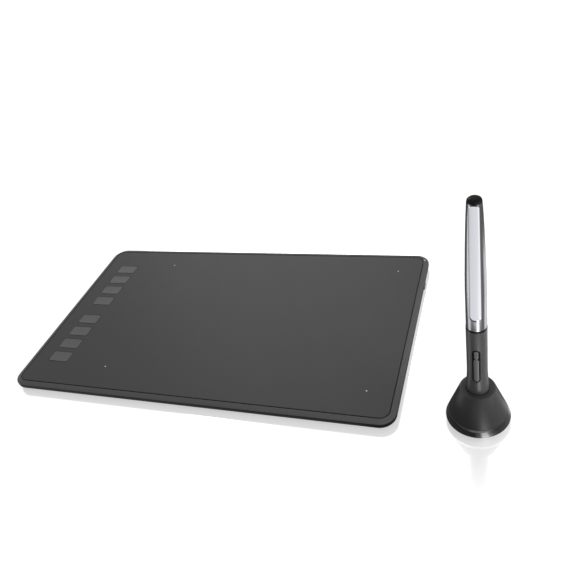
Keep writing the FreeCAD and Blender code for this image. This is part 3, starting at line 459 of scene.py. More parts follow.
@finished
def cell_wrap(name, tone):
    """Shrink sleeve of the round cell: a silver field with a dark collar at each end."""
    finish = Finish(name, Coat_Weight=0.5, Coat_Roughness=0.1)
    height = finish.parts(finish.place())[2]
    low, high = (corner.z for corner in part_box("battery"))
    collar = finish.maths("ABSOLUTE", height - (low + high) / 2) > (high - low) * 0.38
    wrinkle = finish.noise(finish.place((80.0, 80.0, 600.0)), 1.0, 3.0)
    finish.put("Base Color", finish.blend(collar, tone, (0.02, 0.022, 0.03)))
    finish.put("Metallic", 0.7 - collar * 0.6)
    return finish.done(0.28 + wrinkle * 0.12, wrinkle, 0.00002)


@finished
def clear_guide(name, tone):
    """Clear light guide with a faint glow."""
    finish = Finish(name, Transmission_Weight=0.7, IOR=1.49, Emission_Strength=0.25)
    haze = finish.noise(finish.place(), 900.0, 3.0)
    finish.tint(haze, tone, 0.85, 1.0)
    finish.put("Emission Color", finish.blend(haze, shade(tone, 0.6), tone))
    return finish.done(0.12 + haze * 0.15, haze, 0.00001)


# Shapes -------------------------------------------------------------------


def reach(node):
    """Lowest and highest corner of a frame node, in millimetres."""
    return [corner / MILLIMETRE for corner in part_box(node)]


def levels(node):
    """Heights of a frame node's lowest and highest point, in millimetres."""
    return [corner.z for corner in reach(node)]


def plan(node):
    """A frame node's (length, width) and its middle, seen from above, in millimetres."""
    low, high = reach(node)
    return (high.x - low.x, high.y - low.y), ((low.x + high.x) / 2, (low.y + high.y) / 2)


def shrunk(size, inset):
    """A (length, width) drawn in by an inset all round."""
    return size[0] - 2 * inset, size[1] - 2 * inset


def in_millimetres(group):
    """A property group's values by name: lengths in millimetres, and the others as they are."""
    units = {name: group.bl_rna.properties[name].unit for name in group.__annotations__}
    return SimpleNamespace(**{name: getattr(group, name) / (MILLIMETRE if unit == "LENGTH" else 1.0)
                              for name, unit in units.items()})


def only(parts, *kinds):
    """Those parts of a shape that are of the given kinds."""
    return [part for part in parts if isinstance(part, kinds)]


def rounded(bm, parts, radius, segments, affect="VERTICES"):
    """Round off corners or edges."""
    bmesh.ops.bevel(bm, geom=parts, offset=radius, affect=affect, segments=segments,
                    profile=0.5, material=-1)


def draw_profile(bm, points, closed=False):
    """Chain of edges through (across, height, rounding) points above the X axis."""
    before = set(bm.verts[:] + bm.edges[:])
    points = [(*point, 0.0)[:3] for point in points]
    corners = [bm.verts.new((across, 0.0, height)) for across, height, _ in points]
    following = corners[1:] + corners[:1] if closed else corners[1:]
    for ends in zip(corners, following):
        bm.edges.new(ends)
    for corner, (_, _, rounding) in zip(corners, points):
        if rounding:
            rounded(bm, [corner], rounding, ROUND_STEPS)
    return [part for part in bm.verts[:] + bm.edges[:] if part not in before]


def tidy_shell(bm):
    """Merge doubles, drop faces and edges without area, and point all faces outwards."""
    bmesh.ops.remove_doubles(bm, verts=bm.verts, dist=MERGE_GAP)
    bmesh.ops.dissolve_degenerate(bm, edges=bm.edges, dist=MERGE_GAP)
    loose = [edge for edge in bm.edges if not edge.link_faces]
    bmesh.ops.delete(bm, geom=loose, context="EDGES")
    bmesh.ops.recalc_face_normals(bm, faces=bm.faces)


def turned(points, closed=False, steps=TURN_STEPS):
    """Shape turned round the Z axis from a profile of (radius, height, rounding) points."""
    bm = bmesh.new()
    chain = draw_profile(bm, points, closed)
    bmesh.ops.spin(bm, geom=chain, cent=(0, 0, 0), axis=(0, 0, 1), dvec=(0, 0, 0),
                   angle=math.tau, steps=steps, use_merge=True, use_duplicate=False)
    tidy_shell(bm)
    return bm


def sweep(bm, points, size, radius, centre=(0.0, 0.0), closed=False, steps=CORNER_STEPS):
    """Carry a profile of (inset, height, rounding) points round a rectangle with round corners."""
    half_x, half_y = size[0] / 2 - radius, size[1] / 2 - radius
    chain = draw_profile(bm, [(radius - point[0], *point[1:]) for point in points], closed)
    start = only(chain, BMVert)
    bmesh.ops.translate(bm, verts=start, vec=(centre[0] + half_x, centre[1] - half_y, 0))
    runs = [((0, 2 * half_y), (half_x, half_y)), ((-2 * half_x, 0), (-half_x, half_y)),
            ((0, -2 * half_y), (-half_x, -half_y)), ((2 * half_x, 0), (half_x, -half_y))]
    for (step_x, step_y), (corner_x, corner_y) in runs:
        pulled = bmesh.ops.extrude_edge_only(bm, edges=only(chain, BMEdge))["geom"]
        bmesh.ops.translate(bm, verts=only(pulled, BMVert), vec=(step_x, step_y, 0))
        pivot = (centre[0] + corner_x, centre[1] + corner_y, 0)
        chain = bmesh.ops.spin(bm, geom=only(pulled, BMVert, BMEdge), cent=pivot, axis=(0, 0, 1),
                               dvec=(0, 0, 0), angle=math.pi / 2, steps=steps, use_merge=False,
                               use_duplicate=False)["geom_last"]
    bmesh.ops.remove_doubles(bm, verts=start + only(chain, BMVert), dist=MERGE_GAP)


def seal(bm, *heights):
    """Fill the open outline at each height, apart from openings inside it, and tidy the shell."""
    for height in heights:
        edges = [edge for edge in bm.edges if edge.is_boundary
                 and all(abs(vert.co.z - height) < MERGE_GAP for vert in edge.verts)]
        bmesh.ops.triangle_fill(bm, use_beauty=True, use_dissolve=False, edges=edges,
                                normal=(0, 0, 1))
    tidy_shell(bm)


def moved(bm, turn=0.0, shift=(0.0, 0.0, 0.0), tilt=0.0):
    """Tilt a shape about X, turn it about Z and shift it."""
    place = Matrix.Translation(Vector(shift)) @ Matrix.Rotation(turn, 4, "Z") \
        @ Matrix.Rotation(tilt, 4, "X")
    bmesh.ops.transform(bm, matrix=place, verts=bm.verts)
    return bm


def meshed(name, bm):
    """A shape as a mesh. The shape itself is spent."""
    mesh = bpy.data.meshes.new(name)
    bm.to_mesh(mesh)
    bm.free()
    return mesh


def placed(name, data):
    """New object in the scene for a mesh, a lamp or a camera."""
    made = bpy.data.objects.new(name, data)
    bpy.context.scene.collection.objects.link(made)
    return made


def joined(shapes):
    """Several shapes as one mesh of separate shells."""
    whole = shapes[0]
    for shape in shapes[1:]:
        spare = meshed("spare", shape)
        whole.from_mesh(spare)
        bpy.data.meshes.remove(spare)
    return whole


def carved(shape, tool, operation="DIFFERENCE"):
    """The first shape with the second cut away, or what both share."""
    props = [placed("spare", meshed("spare", bm)) for bm in (shape, tool)]
    cut = props[0].modifiers.new("cut", "BOOLEAN")
    cut.object, cut.operation, cut.solver = props[1], operation, "EXACT"
    result = bmesh.new()
    result.from_object(props[0], bpy.context.evaluated_depsgraph_get())
    for prop in props:
        bpy.data.meshes.remove(prop.data)
    bmesh.ops.dissolve_degenerate(result, edges=result.edges, dist=MERGE_GAP)
    return result


def bar(size, centre, rounding=0.0, steps=2):
    """Box with rounded edges."""
    bm = bmesh.new()
    bmesh.ops.create_cube(bm, size=1.0)
    bmesh.ops.scale(bm, vec=size, verts=bm.verts)
    bmesh.ops.translate(bm, vec=centre, verts=bm.verts)
    if rounding:
        rounded(bm, bm.edges[:], rounding, steps, "EDGES")
    return bm


def slot_bar(width, height, middle, back, front):
    """Upright slot shape that reaches from back to front towards -Y."""
    bm = bmesh.new()
    radius = width / 2 - MERGE_GAP * 10
    core = radius * 0.5
    sweep(bm, [(core, back), (0.0, back), (0.0, front), (core, front)], (width, height), radius)
    seal(bm, back, front)
    return moved(bm, tilt=math.pi / 2, shift=(0.0, 0.0, middle))


def inlet_room(grow):
    """Rounded block that makes room for the inlet in the case's right side."""
    low, high = reach("usb_shell")
    size = Vector((high.x - low.x + 4 * grow, high.y - low.y + 2 * grow,
                   high.z - low.z + 2 * grow))
    return bar(size, (low + high) / 2 + Vector((grow, 0, 0)), grow * 1.2, 3)


def settle(name, bm, material, body, slot, *nodes, sharp=32.0):
    """Make a shape in millimetres a piece of the model: finish, body, slot and frame nodes."""
    bmesh.ops.scale(bm, vec=(MILLIMETRE,) * 3, verts=bm.verts)
    mesh = meshed(name, bm)
    mesh.shade_smooth()
    mesh.set_sharp_from_angle(angle=math.radians(sharp))
    mesh.materials.append(material)
    piece = placed(name, mesh)
    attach(piece, body)
    if nodes:
        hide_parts(*nodes)


def dress(material, *nodes):
    """Give frame nodes whose shape is right a better material."""
    for node in nodes:
        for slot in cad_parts[node].material_slots:
            slot.material = material


# Pieces -------------------------------------------------------------------


class PieceOperator:
    """Shared by the operators: they can be undone."""
    bl_options = {"REGISTER", "UNDO"}


class SET_OT_rim(PieceOperator, bpy.types.Operator):
    """Build the bevelled rim that frames the drawing face"""
    bl_idname = "tablet_set.rim"
    bl_label = "Rim"

    def execute(self, context):
        mm = in_millimetres(context.scene.tablet_sizes)
        size, middle = plan("bottom_cover")
        low, high = reach("face_panel")
        seat, top = levels("face_panel")
        crest = mm.bevel_width + mm.crest_width
        crown = (mm.bevel_width / 3, top - mm.bevel_drop * 0.56, 0.5)
        shelf = (size[0] - high.x + low.x) / 2 + mm.shelf_width
        shelf_low = seat - mm.shelf_thickness
        land_top = top - mm.bevel_drop
        land_low = land_top - mm.edge_land
        tongue, tongue_low = mm.tongue_inset, shelf_low - mm.tongue_length
        inner = tongue + mm.tongue_thickness
        soft = mm.soft_edge
        bm = bmesh.new()
        sweep(bm, [(0.0, land_low, soft / 3), (0.0, land_top, soft / 2), crown,
                   (mm.bevel_width, top, soft), (crest, top, soft), (crest, seat, soft / 3),
                   (shelf, seat), (shelf, shelf_low), (inner, shelf_low), (inner, tongue_low),
                   (tongue, tongue_low), (tongue, land_low)],
              size, mm.corner_radius, middle, closed=True)
        tidy_shell(bm)
        bm = carved(bm, inlet_room(0.1))
        low, high = reach("status_light")
        hole = mm.light_radius + PLAY
        light = turned([(0, seat - 4), (hole, seat - 4), (hole, top + 1), (0, top + 1)], steps=32)
        bm = carved(bm, moved(light, shift=((low.x + high.x) / 2, high.y - mm.light_radius, 0)))
        plastic = moulded("rim_plastic", context.scene.set_finishes.rim, 0.36, 1700.0, 0.000012,
                          level=0.38)
        settle("bevelled_rim", bm, plastic, "root", "case_plastic", "top_frame", sharp=14.0)
        return {"FINISHED"}


class SET_OT_face(PieceOperator, bpy.types.Operator):
    """Build the drawing face with its key openings, and the four corner dots"""
    bl_idname = "tablet_set.face"
    bl_label = "Drawing Face"

    def execute(self, context):
        mm = in_millimetres(context.scene.tablet_sizes)
        finishes = context.scene.set_finishes
        low, high = levels("face_panel")
        size, middle = plan("face_panel")
        radius = mm.corner_radius - (plan("bottom_cover")[0][0] - size[0]) / 2
        inward, outward = 0.5, -0.6    # flat strips that the profiles carry with them
        bm = bmesh.new()
        sweep(bm, [(inward, low), (0.0, low), (0.0, high, mm.soft_edge), (inward, high)],
              size, radius, middle)
        for number in KEYS:
            key, place = plan(f"key_{number}")
            sweep(bm, [(outward, low), (0.0, low), (0.0, high, mm.soft_edge * 1.6),
                       (outward, high)],
                  shrunk(key, mm.key_flange - mm.key_gap), mm.key_corner + mm.key_gap, place,
                  steps=6)
        seal(bm, high, low)
        surface = soft_touch("face_soft_plastic", finishes.face, 0.44, 0.24)
        settle("drawing_face", bm, surface, "root", "face_plastic", "face_panel")
        ink = moulded("mark_ink", finishes.marks, 0.5, 3000.0, 0.000005)
        settle("corner_marks", self.marks(mm.mark_radius, high), ink, "root", "face_plastic")
        return {"FINISHED"}

    def marks(self, radius, top):
        """The four dots printed at the corners of the drawing area."""
        low, high = reach("sensor_board")
        margin = 2.5
        under, over = top - 0.1, top + 0.02
        dots = []
        for x in (low.x + margin, high.x - margin):
            for y in (low.y + margin, high.y - margin):
                dot = turned([(0, under), (radius, under), (radius, over, 0.01), (0, over)],
                             steps=24)
                dots.append(moved(dot, shift=(x, y, 0)))
        return joined(dots)


class SET_OT_keys(PieceOperator, bpy.types.Operator):
    """Build the eight key caps"""
    bl_idname = "tablet_set.keys"
    bl_label = "Keys"

    def execute(self, context):
        mm = in_millimetres(context.scene.tablet_sizes)
        plastic = moulded("key_soft_plastic", context.scene.set_finishes.keys, 0.42, 2200.0,
                          0.000012, level=0.4)
        flange = mm.key_flange
        under_face, stem_radius = 0.15, 1.5
        flange_top = levels("face_panel")[0] - under_face
        flange_low = flange_top - mm.key_flange_height
        stem_top = flange_low + 0.1
        core = mm.key_corner * 0.8
        for number in KEYS:
            low, high = levels(f"key_{number}")
            size, middle = plan(f"key_{number}")
            dish = high - mm.key_dish
            bm = bmesh.new()
            sweep(bm, [(core, flange_low), (-flange, flange_low, 0.1), (-flange, flange_top, 0.1),
                       (0.0, flange_top), (0.0, high, mm.key_round), (core * 0.55, high, 0.2),
                       (core, dish)], shrunk(size, flange), mm.key_corner, middle, steps=8)
            seal(bm, dish, flange_low)
            stem = turned([(0, low), (stem_radius, low, 0.2), (stem_radius, stem_top),
                           (0, stem_top)], steps=32)
            bm = joined([bm, moved(stem, shift=(*middle, 0))])
            settle(f"key_cap_{number}", bm, plastic, f"key_{number}", "key_plastic",
                   f"key_{number}", sharp=40.0)
        return {"FINISHED"}


class SET_OT_lower_case(PieceOperator, bpy.types.Operator):
    """Build the lower case with its rounded edge, the recesses for the feet and room for the inlet
    """
    bl_idname = "tablet_set.lower_case"
    bl_label = "Lower Case"

    def execute(self, context):
        mm = in_millimetres(context.scene.tablet_sizes)
        low, high = levels("bottom_cover")
        size, middle = plan("bottom_cover")
        core = mm.corner_radius * 0.7
        floor_top, recess_top = low + mm.floor, low + mm.foot_recess
        bm = bmesh.new()
        sweep(bm, [(core, floor_top), (mm.wall, floor_top, mm.lower_round - mm.floor),
                   (mm.wall, high, mm.soft_edge / 3), (0.0, high, mm.soft_edge / 2),
                   (0.0, low, mm.lower_round), (core, low)], size, mm.corner_radius, middle)
        for number in FEET:
            foot, place = plan(f"rubber_foot_{number}")
            sweep(bm, [(-0.5, low), (0.0, low, 0.12), (0.0, recess_top), (0.6, recess_top)],
                  shrunk(foot, -PLAY), mm.foot_corner + PLAY, place, steps=8)
        seal(bm, recess_top, low, floor_top)
        plastic = moulded("case_spark_plastic", context.scene.set_finishes.case, 0.5, 1300.0,
                          0.00003, level=0.15)
        settle("lower_case", carved(bm, inlet_room(0.25)), plastic, "root", "case_plastic",
               "bottom_cover")
        return {"FINISHED"}


class SET_OT_feet(PieceOperator, bpy.types.Operator):
    """Build the four rubber feet"""
    bl_idname = "tablet_set.feet"
    bl_label = "Feet"

    def execute(self, context):
        corner = in_millimetres(context.scene.tablet_sizes).foot_corner
        skin = rubber("foot_rubber_skin", context.scene.set_finishes.rubber)
        core = corner * 0.8
        for number in FEET:
            low, high = levels(f"rubber_foot_{number}")
            size, middle = plan(f"rubber_foot_{number}")
            hollow = low + 0.25
            bm = bmesh.new()
            sweep(bm, [(core, high), (0.0, high), (0.0, low, 0.3), (1.1, low, 0.1),
                       (1.5, hollow, 0.1), (core, hollow)], size, corner, middle, steps=8)
            seal(bm, high, hollow)
            settle(f"foot_pad_{number}", bm, skin, "root", "foot_rubber",
                   f"rubber_foot_{number}")
        return {"FINISHED"}


class SET_OT_fittings(PieceOperator, bpy.types.Operator):
    """Finish the inlet, the status light, the screws and what is inside the tablet"""
    bl_idname = "tablet_set.fittings"
    bl_label = "Fittings and Inner Parts"

    def execute(self, context):
        dress(plated("inlet_nickel", (0.6, 0.6, 0.61)), "usb_shell")
        dress(moulded("inlet_insert_plastic", (0.018, 0.018, 0.018), 0.4), "usb_insert")
        dress(clear_guide("status_light_guide", (0.85, 0.9, 0.95)), "status_light")
        dress(plated("blackened_screw_steel", (0.09, 0.09, 0.095), 0.35), "cover_screws")
        dress(circuit("board_green", (0.015, 0.1, 0.05)), "key_board", "main_board",
              "sensor_board", "pen_board")
        dress(moulded("switch_black_plastic", (0.035, 0.035, 0.035), 0.4), "key_switches",
              "pen_switches")
        dress(satin_metal("shield_sheet", (0.68, 0.68, 0.69), 0.4, (30.0, 1500.0, 1500.0)),
              "shield_plate")
        dress(film("key_cable_film", (0.33, 0.12, 0.03)), "key_ribbon", "sensor_ribbon")
        return {"FINISHED"}


class SET_OT_stand(PieceOperator, bpy.types.Operator):
    """Build the pen stand: base, glossy band, turning cone and rubber ring"""
    bl_idname = "tablet_set.stand"
    bl_label = "Pen Stand"

    def execute(self, context):
        self.mm = in_millimetres(context.scene.stand_sizes)
        finishes = context.scene.set_finishes
        low, high = levels("stand_base")
        size, middle = plan("stand_base")
        self.widest = size[0] / 2
        soft, widest_z = self.mm.soft_edge, self.mm.widest_height
        plastic = moulded("stand_satin_plastic", finishes.stand, 0.34, 1500.0, 0.00001, level=0.3)
        ring_bore, ring_radius, ring_top = 8.0, plan("stand_pad")[0][0] / 2, levels("stand_pad")[1]
        boss, room = ring_bore - PLAY, ring_radius + PLAY
        band_low, band_high = levels("stand_band")
        bore = self.side(band_high) - self.mm.band_wall
        tray_low, tray_room, spigot_wall = levels("nib_tray")[0], 0.15, 1.4
        inside = plan("nib_tray")[0][0] / 2 + tray_room
        spigot = inside + spigot_wall
        base = [(0, low), (boss, low), (boss, ring_top), (room, ring_top), (room, low),
                (self.mm.foot_radius, low, 0.35), (self.widest, widest_z, soft),
                (bore, widest_z), (bore, band_high), (spigot, band_high), (spigot, high, 0.3),
                (inside, high, 0.3), (inside, tray_low), (0, tray_low)]
        band = [(bore + PLAY, band_low), (self.side(band_low) - 0.02, band_low, soft),
                (self.side(band_high), band_high, soft), (bore + PLAY, band_high)]

        def settle_round(name, profile, closed, *finish):
            """Turn a profile round the stand's axis and settle it."""
            settle(name, moved(turned(profile, closed), shift=(*middle, 0.0)), *finish)

        settle_round("stand_foot_plate", base, False, plastic, "root", "stand_plastic",
                     "stand_base")
        settle_round("stand_gloss_band", band, True, lacquer("stand_band_gloss", finishes.band),
                     "root", "stand_gloss", "stand_band")
        settle_round("stand_turning_cone", self.cone(), False, plastic, "stand_cone",
                     "stand_plastic", "stand_cone")
        settle_round("stand_grip_ring", self.ring(ring_bore, ring_radius, ring_top), True,
                     rubber("stand_ring_rubber", finishes.rubber), "root", "foot_rubber",
                     "stand_pad")
        dress(moulded("tray_plastic", (0.03, 0.03, 0.03), 0.5), "nib_tray")
        dress(plated("puller_steel", (0.6, 0.6, 0.6), 0.2), "nib_puller")
        dress(moulded("spare_nib_plastic", (0.018, 0.018, 0.018), 0.4), "spare_nibs")
        return {"FINISHED"}

    def ring(self, bore, radius, top):
        """Profile of the rubber ring, with four grooves round its tread."""
        profile = [(bore, 0.05), (bore, top), (radius, top), (radius, 0.0, 0.15)]
        for groove in (14.6, 12.9, 11.2, 9.5):
            profile += [(groove + 0.55, 0.0, 0.1), (groove + 0.35, 0.3), (groove - 0.35, 0.3),
                        (groove - 0.55, 0.0, 0.1)]
        return [*profile, (bore + 0.2, 0.0)]

    def side(self, z):
        """Radius of the tapered side at a height."""
        low, high = self.mm.widest_height, levels("stand_cone")[1]
        return self.widest + (self.mm.top_radius - self.widest) * (z - low) / (high - low)

    def cone(self):
        """Profile of the tapered shell, with the pen's socket and the hollow above the nib tray."""
        low, high = levels("stand_cone")
        nib_tip = levels("pen_nib")[0]
        mouth, mouth_z = 7.2, nib_tip + 17.6
        seat, seat_z = 6.25, nib_tip + 12.0
        well, well_z = 3.6, nib_tip + 5.58
        floor, under = nib_tip - 1.4, nib_tip - 2.7
        roof, hollow, wall = high - 3.4, 15.38, 1.4
        return [(0, floor), (well, floor), (well, well_z), (seat, seat_z), (mouth, mouth_z),
                (mouth, high, 0.25), (self.side(high), high, self.mm.top_round),
                (self.side(low), low, self.mm.soft_edge), (hollow, low, 0.1), (hollow, 14.0),
                (self.side(roof) - 1.8, roof), (mouth + wall, roof), (seat + wall, seat_z),
                (well + wall, well_z), (well + wall, under), (0, under)]


class PenOperator(PieceOperator):
    """Shared by the pen's operators: heights are counted from the nib's tip."""

    def ready(self, context):
        """Find the pen's place and sizes, and give the finishes."""
        middle = plan("pen_nib")[1]
        self.place = (*middle, levels("pen_nib")[0])
        self.mm = in_millimetres(context.scene.pen_sizes)
        return context.scene.set_finishes

    def stood(self, bm):
        """Stand a shape from the nib's tip upwards in the stand, turned to its facing."""
        return moved(bm, turn=self.mm.facing, shift=self.place)

    def heights(self, node):
        """Lowest and highest point of a node above the nib's tip."""
        return [z - self.place[2] for z in levels(node)]


class SET_OT_pen_body(PenOperator, bpy.types.Operator):
    """Build the pen's nib, nose, grip, collar, barrel and end cap"""
    bl_idname = "tablet_set.pen_body"
    bl_label = "Pen Body"

    def execute(self, context):
        finishes = self.ready(context)
        radius, tall = plan("pen_nib")[0][0] / 2, self.heights("pen_nib")[1]
        nib = turned([(0, 0), (radius, 0, radius * 0.98), (radius, tall, 0.1), (0, tall)],
                     steps=40)
        black = moulded("nib_hard_plastic", (0.018, 0.018, 0.018), 0.35)
        settle("pen_point", self.stood(nib), black, "pen_nib", "nib_plastic", "pen_nib")
        skin = moulded("grip_soft_plastic", finishes.grip, 0.36, 2600.0, 0.00001, level=0.65)
        nose = [(0.93, 1.6), (1.8, 1.6, 0.3), (6.1, 12.0), (5.25, 12.0), (5.25, 16.0),
                (3.25, 16.0), (3.25, 8.0), (2.87, 6.95), (0.93, 6.95)]
        settle("pen_nose_cone", self.stood(turned(nose, True)), skin, "pen", "grip_plastic",
               "pen_nose")
        settle("pen_grip_sleeve", self.grip(), skin, "pen", "grip_plastic", "pen_grip")
        gloss = lacquer("collar_cap_gloss", finishes.cap, 0.25, 0.12)
        settle("pen_joint_ring", self.collar(), gloss, "pen", "collar_plastic", "joint_collar")
        silver = satin_metal("barrel_satin_silver", finishes.barrel, 0.2)
        settle("pen_barrel_tube", self.barrel(), silver, "pen_barrel", "barrel_metal",
               "upper_barrel")
        settle("pen_end_cap", self.cap(), gloss, "pen_barrel", "cap_plastic", "end_cap")
        return {"FINISHED"}

    def grip(self):
        """Grip sleeve with its flare, waist and button slot."""
        low, high = self.heights("button_bezel")
        profile = [(5.3, 12.0), (6.1, 12.0), (6.74, 15.2, 1.5), (7.05, 18.6, 2.5),
                   (6.9, 22.0, 1.5), (6.53, 27.2, 2.5), (6.25, 33.0, 2.5), (6.25, 69.6, 0.12),
                   (5.8, 69.6), (5.8, 66.55), (5.3, 66.55)]
        slot = slot_bar(self.mm.slot_width + 2 * PLAY, high - low + 2 * PLAY, (low + high) / 2,
                        1.0, 9.0)
        return self.stood(carved(turned(profile, True), slot))

    def collar(self):
        """Collar that joins grip and barrel, with its raised black ring."""
        low, high = self.heights("joint_collar")
        ring_low, ring_high = low + 3.0, low + 4.2
        return self.stood(turned([
            (5.35, low), (5.75, low), (5.75, ring_low), (6.2, ring_low, 0.08),
            (6.2, ring_high, 0.15), (5.75, ring_high), (5.75, high), (5.35, high)], True))

    def barrel(self):
        """Tapered barrel with its bore and the notch for the clip's tab."""
        low, high = self.heights("upper_barrel")
        thread, shoulder = low + 4.8, high - 46.75
        profile = [(5.8, low), (6.075, low, 0.1), (BARREL_WAIST, high - 51.8, 5.0),
                   (5.6, high - 39.2, 5.5), (5.2, high - 23.8, 7.0), (4.78, high - 14.0, 4.0),
                   (4.45, high - 5.8, 3.0), (BARREL_TOP, high), (3.4, high), (3.4, shoulder),
                   (5.35, shoulder), (5.35, thread), (5.8, thread)]
        return self.stood(carved(turned(profile, True),
                                 bar((3.3, 6.0, 3.3), (0, -3.0, high - 2.8))))

    def cap(self):
        """End cap with its plug and its stepped dome."""
        low, high = self.heights("end_cap")
        rim = self.heights("upper_barrel")[1]
        return self.stood(turned([
            (0, low), (3.37, low, 0.2), (3.37, rim), (BARREL_TOP, rim), (3.98, rim + 0.8, 0.5),
            (3.5, rim + 1.6, 0.6), (2.5, high, 0.5), (0, high)]))


class SET_OT_pen_controls(PenOperator, bpy.types.Operator):
    """Build the two side buttons, their black frame and the clip"""
    bl_idname = "tablet_set.pen_controls"
    bl_label = "Pen Buttons and Clip"

    def execute(self, context):
        finishes = self.ready(context)
        black = moulded("button_frame_black", finishes.bezel, 0.5, level=0.12)
        settle("pen_button_frame", self.button_frame(), black, "pen", "bezel_plastic",
               "button_bezel")
        plastic = moulded("button_satin_plastic", finishes.buttons, 0.34, 2200.0, 0.00001)
        widths = {"upper": self.mm.upper_button_width, "lower": self.mm.button_width}
        for side, width in widths.items():
            settle(f"pen_{side}_key", self.button(f"pen_button_{side}", width), plastic,
                   f"pen_button_{side}", "button_plastic", f"pen_button_{side}", sharp=50.0)
        silver = satin_metal("clip_satin_silver", finishes.clip, 0.16)
        settle("pen_pocket_clip", self.clip(), silver, "pen_clip", "clip_metal", "pen_clip",
               sharp=20.0)
        return {"FINISHED"}

    def button_frame(self):
        """Black frame round the buttons, curved like the grip."""
        low, high = self.heights("button_bezel")
        middle, width, wall = (low + high) / 2, self.mm.slot_width, self.mm.slot_wall
        tube = turned([(5.3, low - 1), (6.3, low - 1), (6.3, high + 1), (5.3, high + 1)], True, 192)
        ring = carved(slot_bar(width, high - low, middle, 1.0, 8.0),
                      slot_bar(width - 2 * wall, high - low - 2 * wall, middle, 0.5, 9.0))
        return self.stood(carved(tube, ring, "INTERSECT"))

    def button(self, node, width):
        """Crowned button whose face follows the grip's roundness."""
        low, high = self.heights(node)
        front, back = 6.55, 3.0
        radius = width / 2 - 0.01
        core = radius * 0.9
        bm = bmesh.new()
        sweep(bm, [(core, back), (0.0, back), (0.0, front, 0.3), (0.45, front), (0.8, front),
                   (core, front)], (width, high - low), radius, steps=8)
        seal(bm, front, back)
        for vert in bm.verts:
            if vert.co.z > back + 1:
                vert.co.z -= front - math.sqrt(front ** 2 - vert.co.x ** 2)
        return self.stood(moved(bm, tilt=math.pi / 2, shift=(0, 0, (low + high) / 2)))

    def clip(self):
        """Tapered leaf with a rounded lower end and bright bevels, a bump and a tab."""
        low, high = self.heights("upper_barrel")
        end = low + 8.65
        top_y, low_y, lift = BARREL_TOP + 0.55, BARREL_WAIST + 1.1, 0.45
        lean = math.atan2(low_y - top_y, high - end)
        leaf = self.leaf(high, end)
        turn = Matrix.Translation((0, -top_y, high)) @ Matrix.Rotation(-lean, 4, "X") \
            @ Matrix.Translation((0, 0, -high))
        bmesh.ops.transform(leaf, matrix=turn, verts=leaf.verts)

        def peg(width, inner, outer, height, z, *rounding):
            """Block that reaches from the barrel out to the leaf."""
            return bar((width, outer - inner, height), (0, -(outer + inner) / 2, z), *rounding)

        bump = peg(3.0, 6.275, low_y + lift, 4.0, end + self.mm.clip_low_width / 2 + 2.0, 0.3, 3)
        tab = peg(3.0, 3.55, top_y + lift, 3.0, high - 2.8, 0.2)
        return self.stood(joined([leaf, bump, tab]))

    def leaf(self, high, end):
        """The clip's leaf, upright, with a bevel along its edges."""
        half_top, half_low = self.mm.clip_top_width / 2, self.mm.clip_low_width / 2
        drop = self.mm.clip_bevel_drop
        bm = bmesh.new()
        corners = [bm.verts.new(place) for place in
                   ((-half_top, 0, high), (half_top, 0, high), (half_low, 0, end),
                    (-half_low, 0, end))]
        bm.faces.new(corners)
        rounded(bm, corners[2:], half_low * 0.97, 16)
        rounded(bm, corners[:2], 1.0, 6)
        outline = max(bm.faces, key=lambda face: face.calc_area())
        if outline.normal.y > 0:
            outline.normal_flip()
        front = bmesh.ops.extrude_face_region(bm, geom=[outline])["geom"]
        bmesh.ops.translate(bm, vec=(0, drop - self.mm.clip_thickness, 0),
                            verts=only(front, BMVert))
        bmesh.ops.inset_region(bm, faces=only(front, BMFace), thickness=self.mm.clip_bevel,
                               depth=drop, use_even_offset=True, use_boundary=True)
        self.slope_end(bm, end + half_low, half_low)
        tidy_shell(bm)
        return bm

    def slope_end(self, bm, centre, radius):
        """Lengthen and deepen the bevel round the leaf's lower end, below the arc's centre."""
        thick, stretch = self.mm.clip_thickness, self.mm.clip_end_stretch
        end = centre - radius
        raised = self.mm.clip_end_bevel - self.mm.clip_bevel - (stretch - 1.0) * self.mm.clip_bevel
        for vert in bm.verts:
            down = centre - vert.co.z
            if down < -MERGE_GAP:
                continue
            if vert.co.y < -thick + MERGE_GAP:
                vert.co.z += raised
            elif vert.co.y < -thick / 2:
                vert.co.y += self.mm.clip_end_drop * down / radius
            vert.co.z = end + (vert.co.z - end) * stretch


class SET_OT_pen_inside(PieceOperator, bpy.types.Operator):
    """Finish what is inside the pen"""
    bl_idname = "tablet_set.pen_inside"
    bl_label = "Pen Inner Parts"

    def execute(self, context):
        dress(sintered("ferrite_grey", (0.05, 0.05, 0.055)), "ferrite_core")
        dress(winding("antenna_copper", (0.7, 0.3, 0.15)), "antenna_coil")
        dress(plated("sensor_can", (0.5, 0.5, 0.5)), "pressure_sensor")
        dress(moulded("carrier_pale_plastic", (0.5, 0.5, 0.48), 0.45), "pen_chassis")
        dress(cell_wrap("cell_sleeve", (0.45, 0.45, 0.46)), "battery")
        dress(plated("contact_brass", (0.75, 0.6, 0.3), 0.2), "battery_contact_lower",
              "battery_contact_upper")
        return {"FINISHED"}


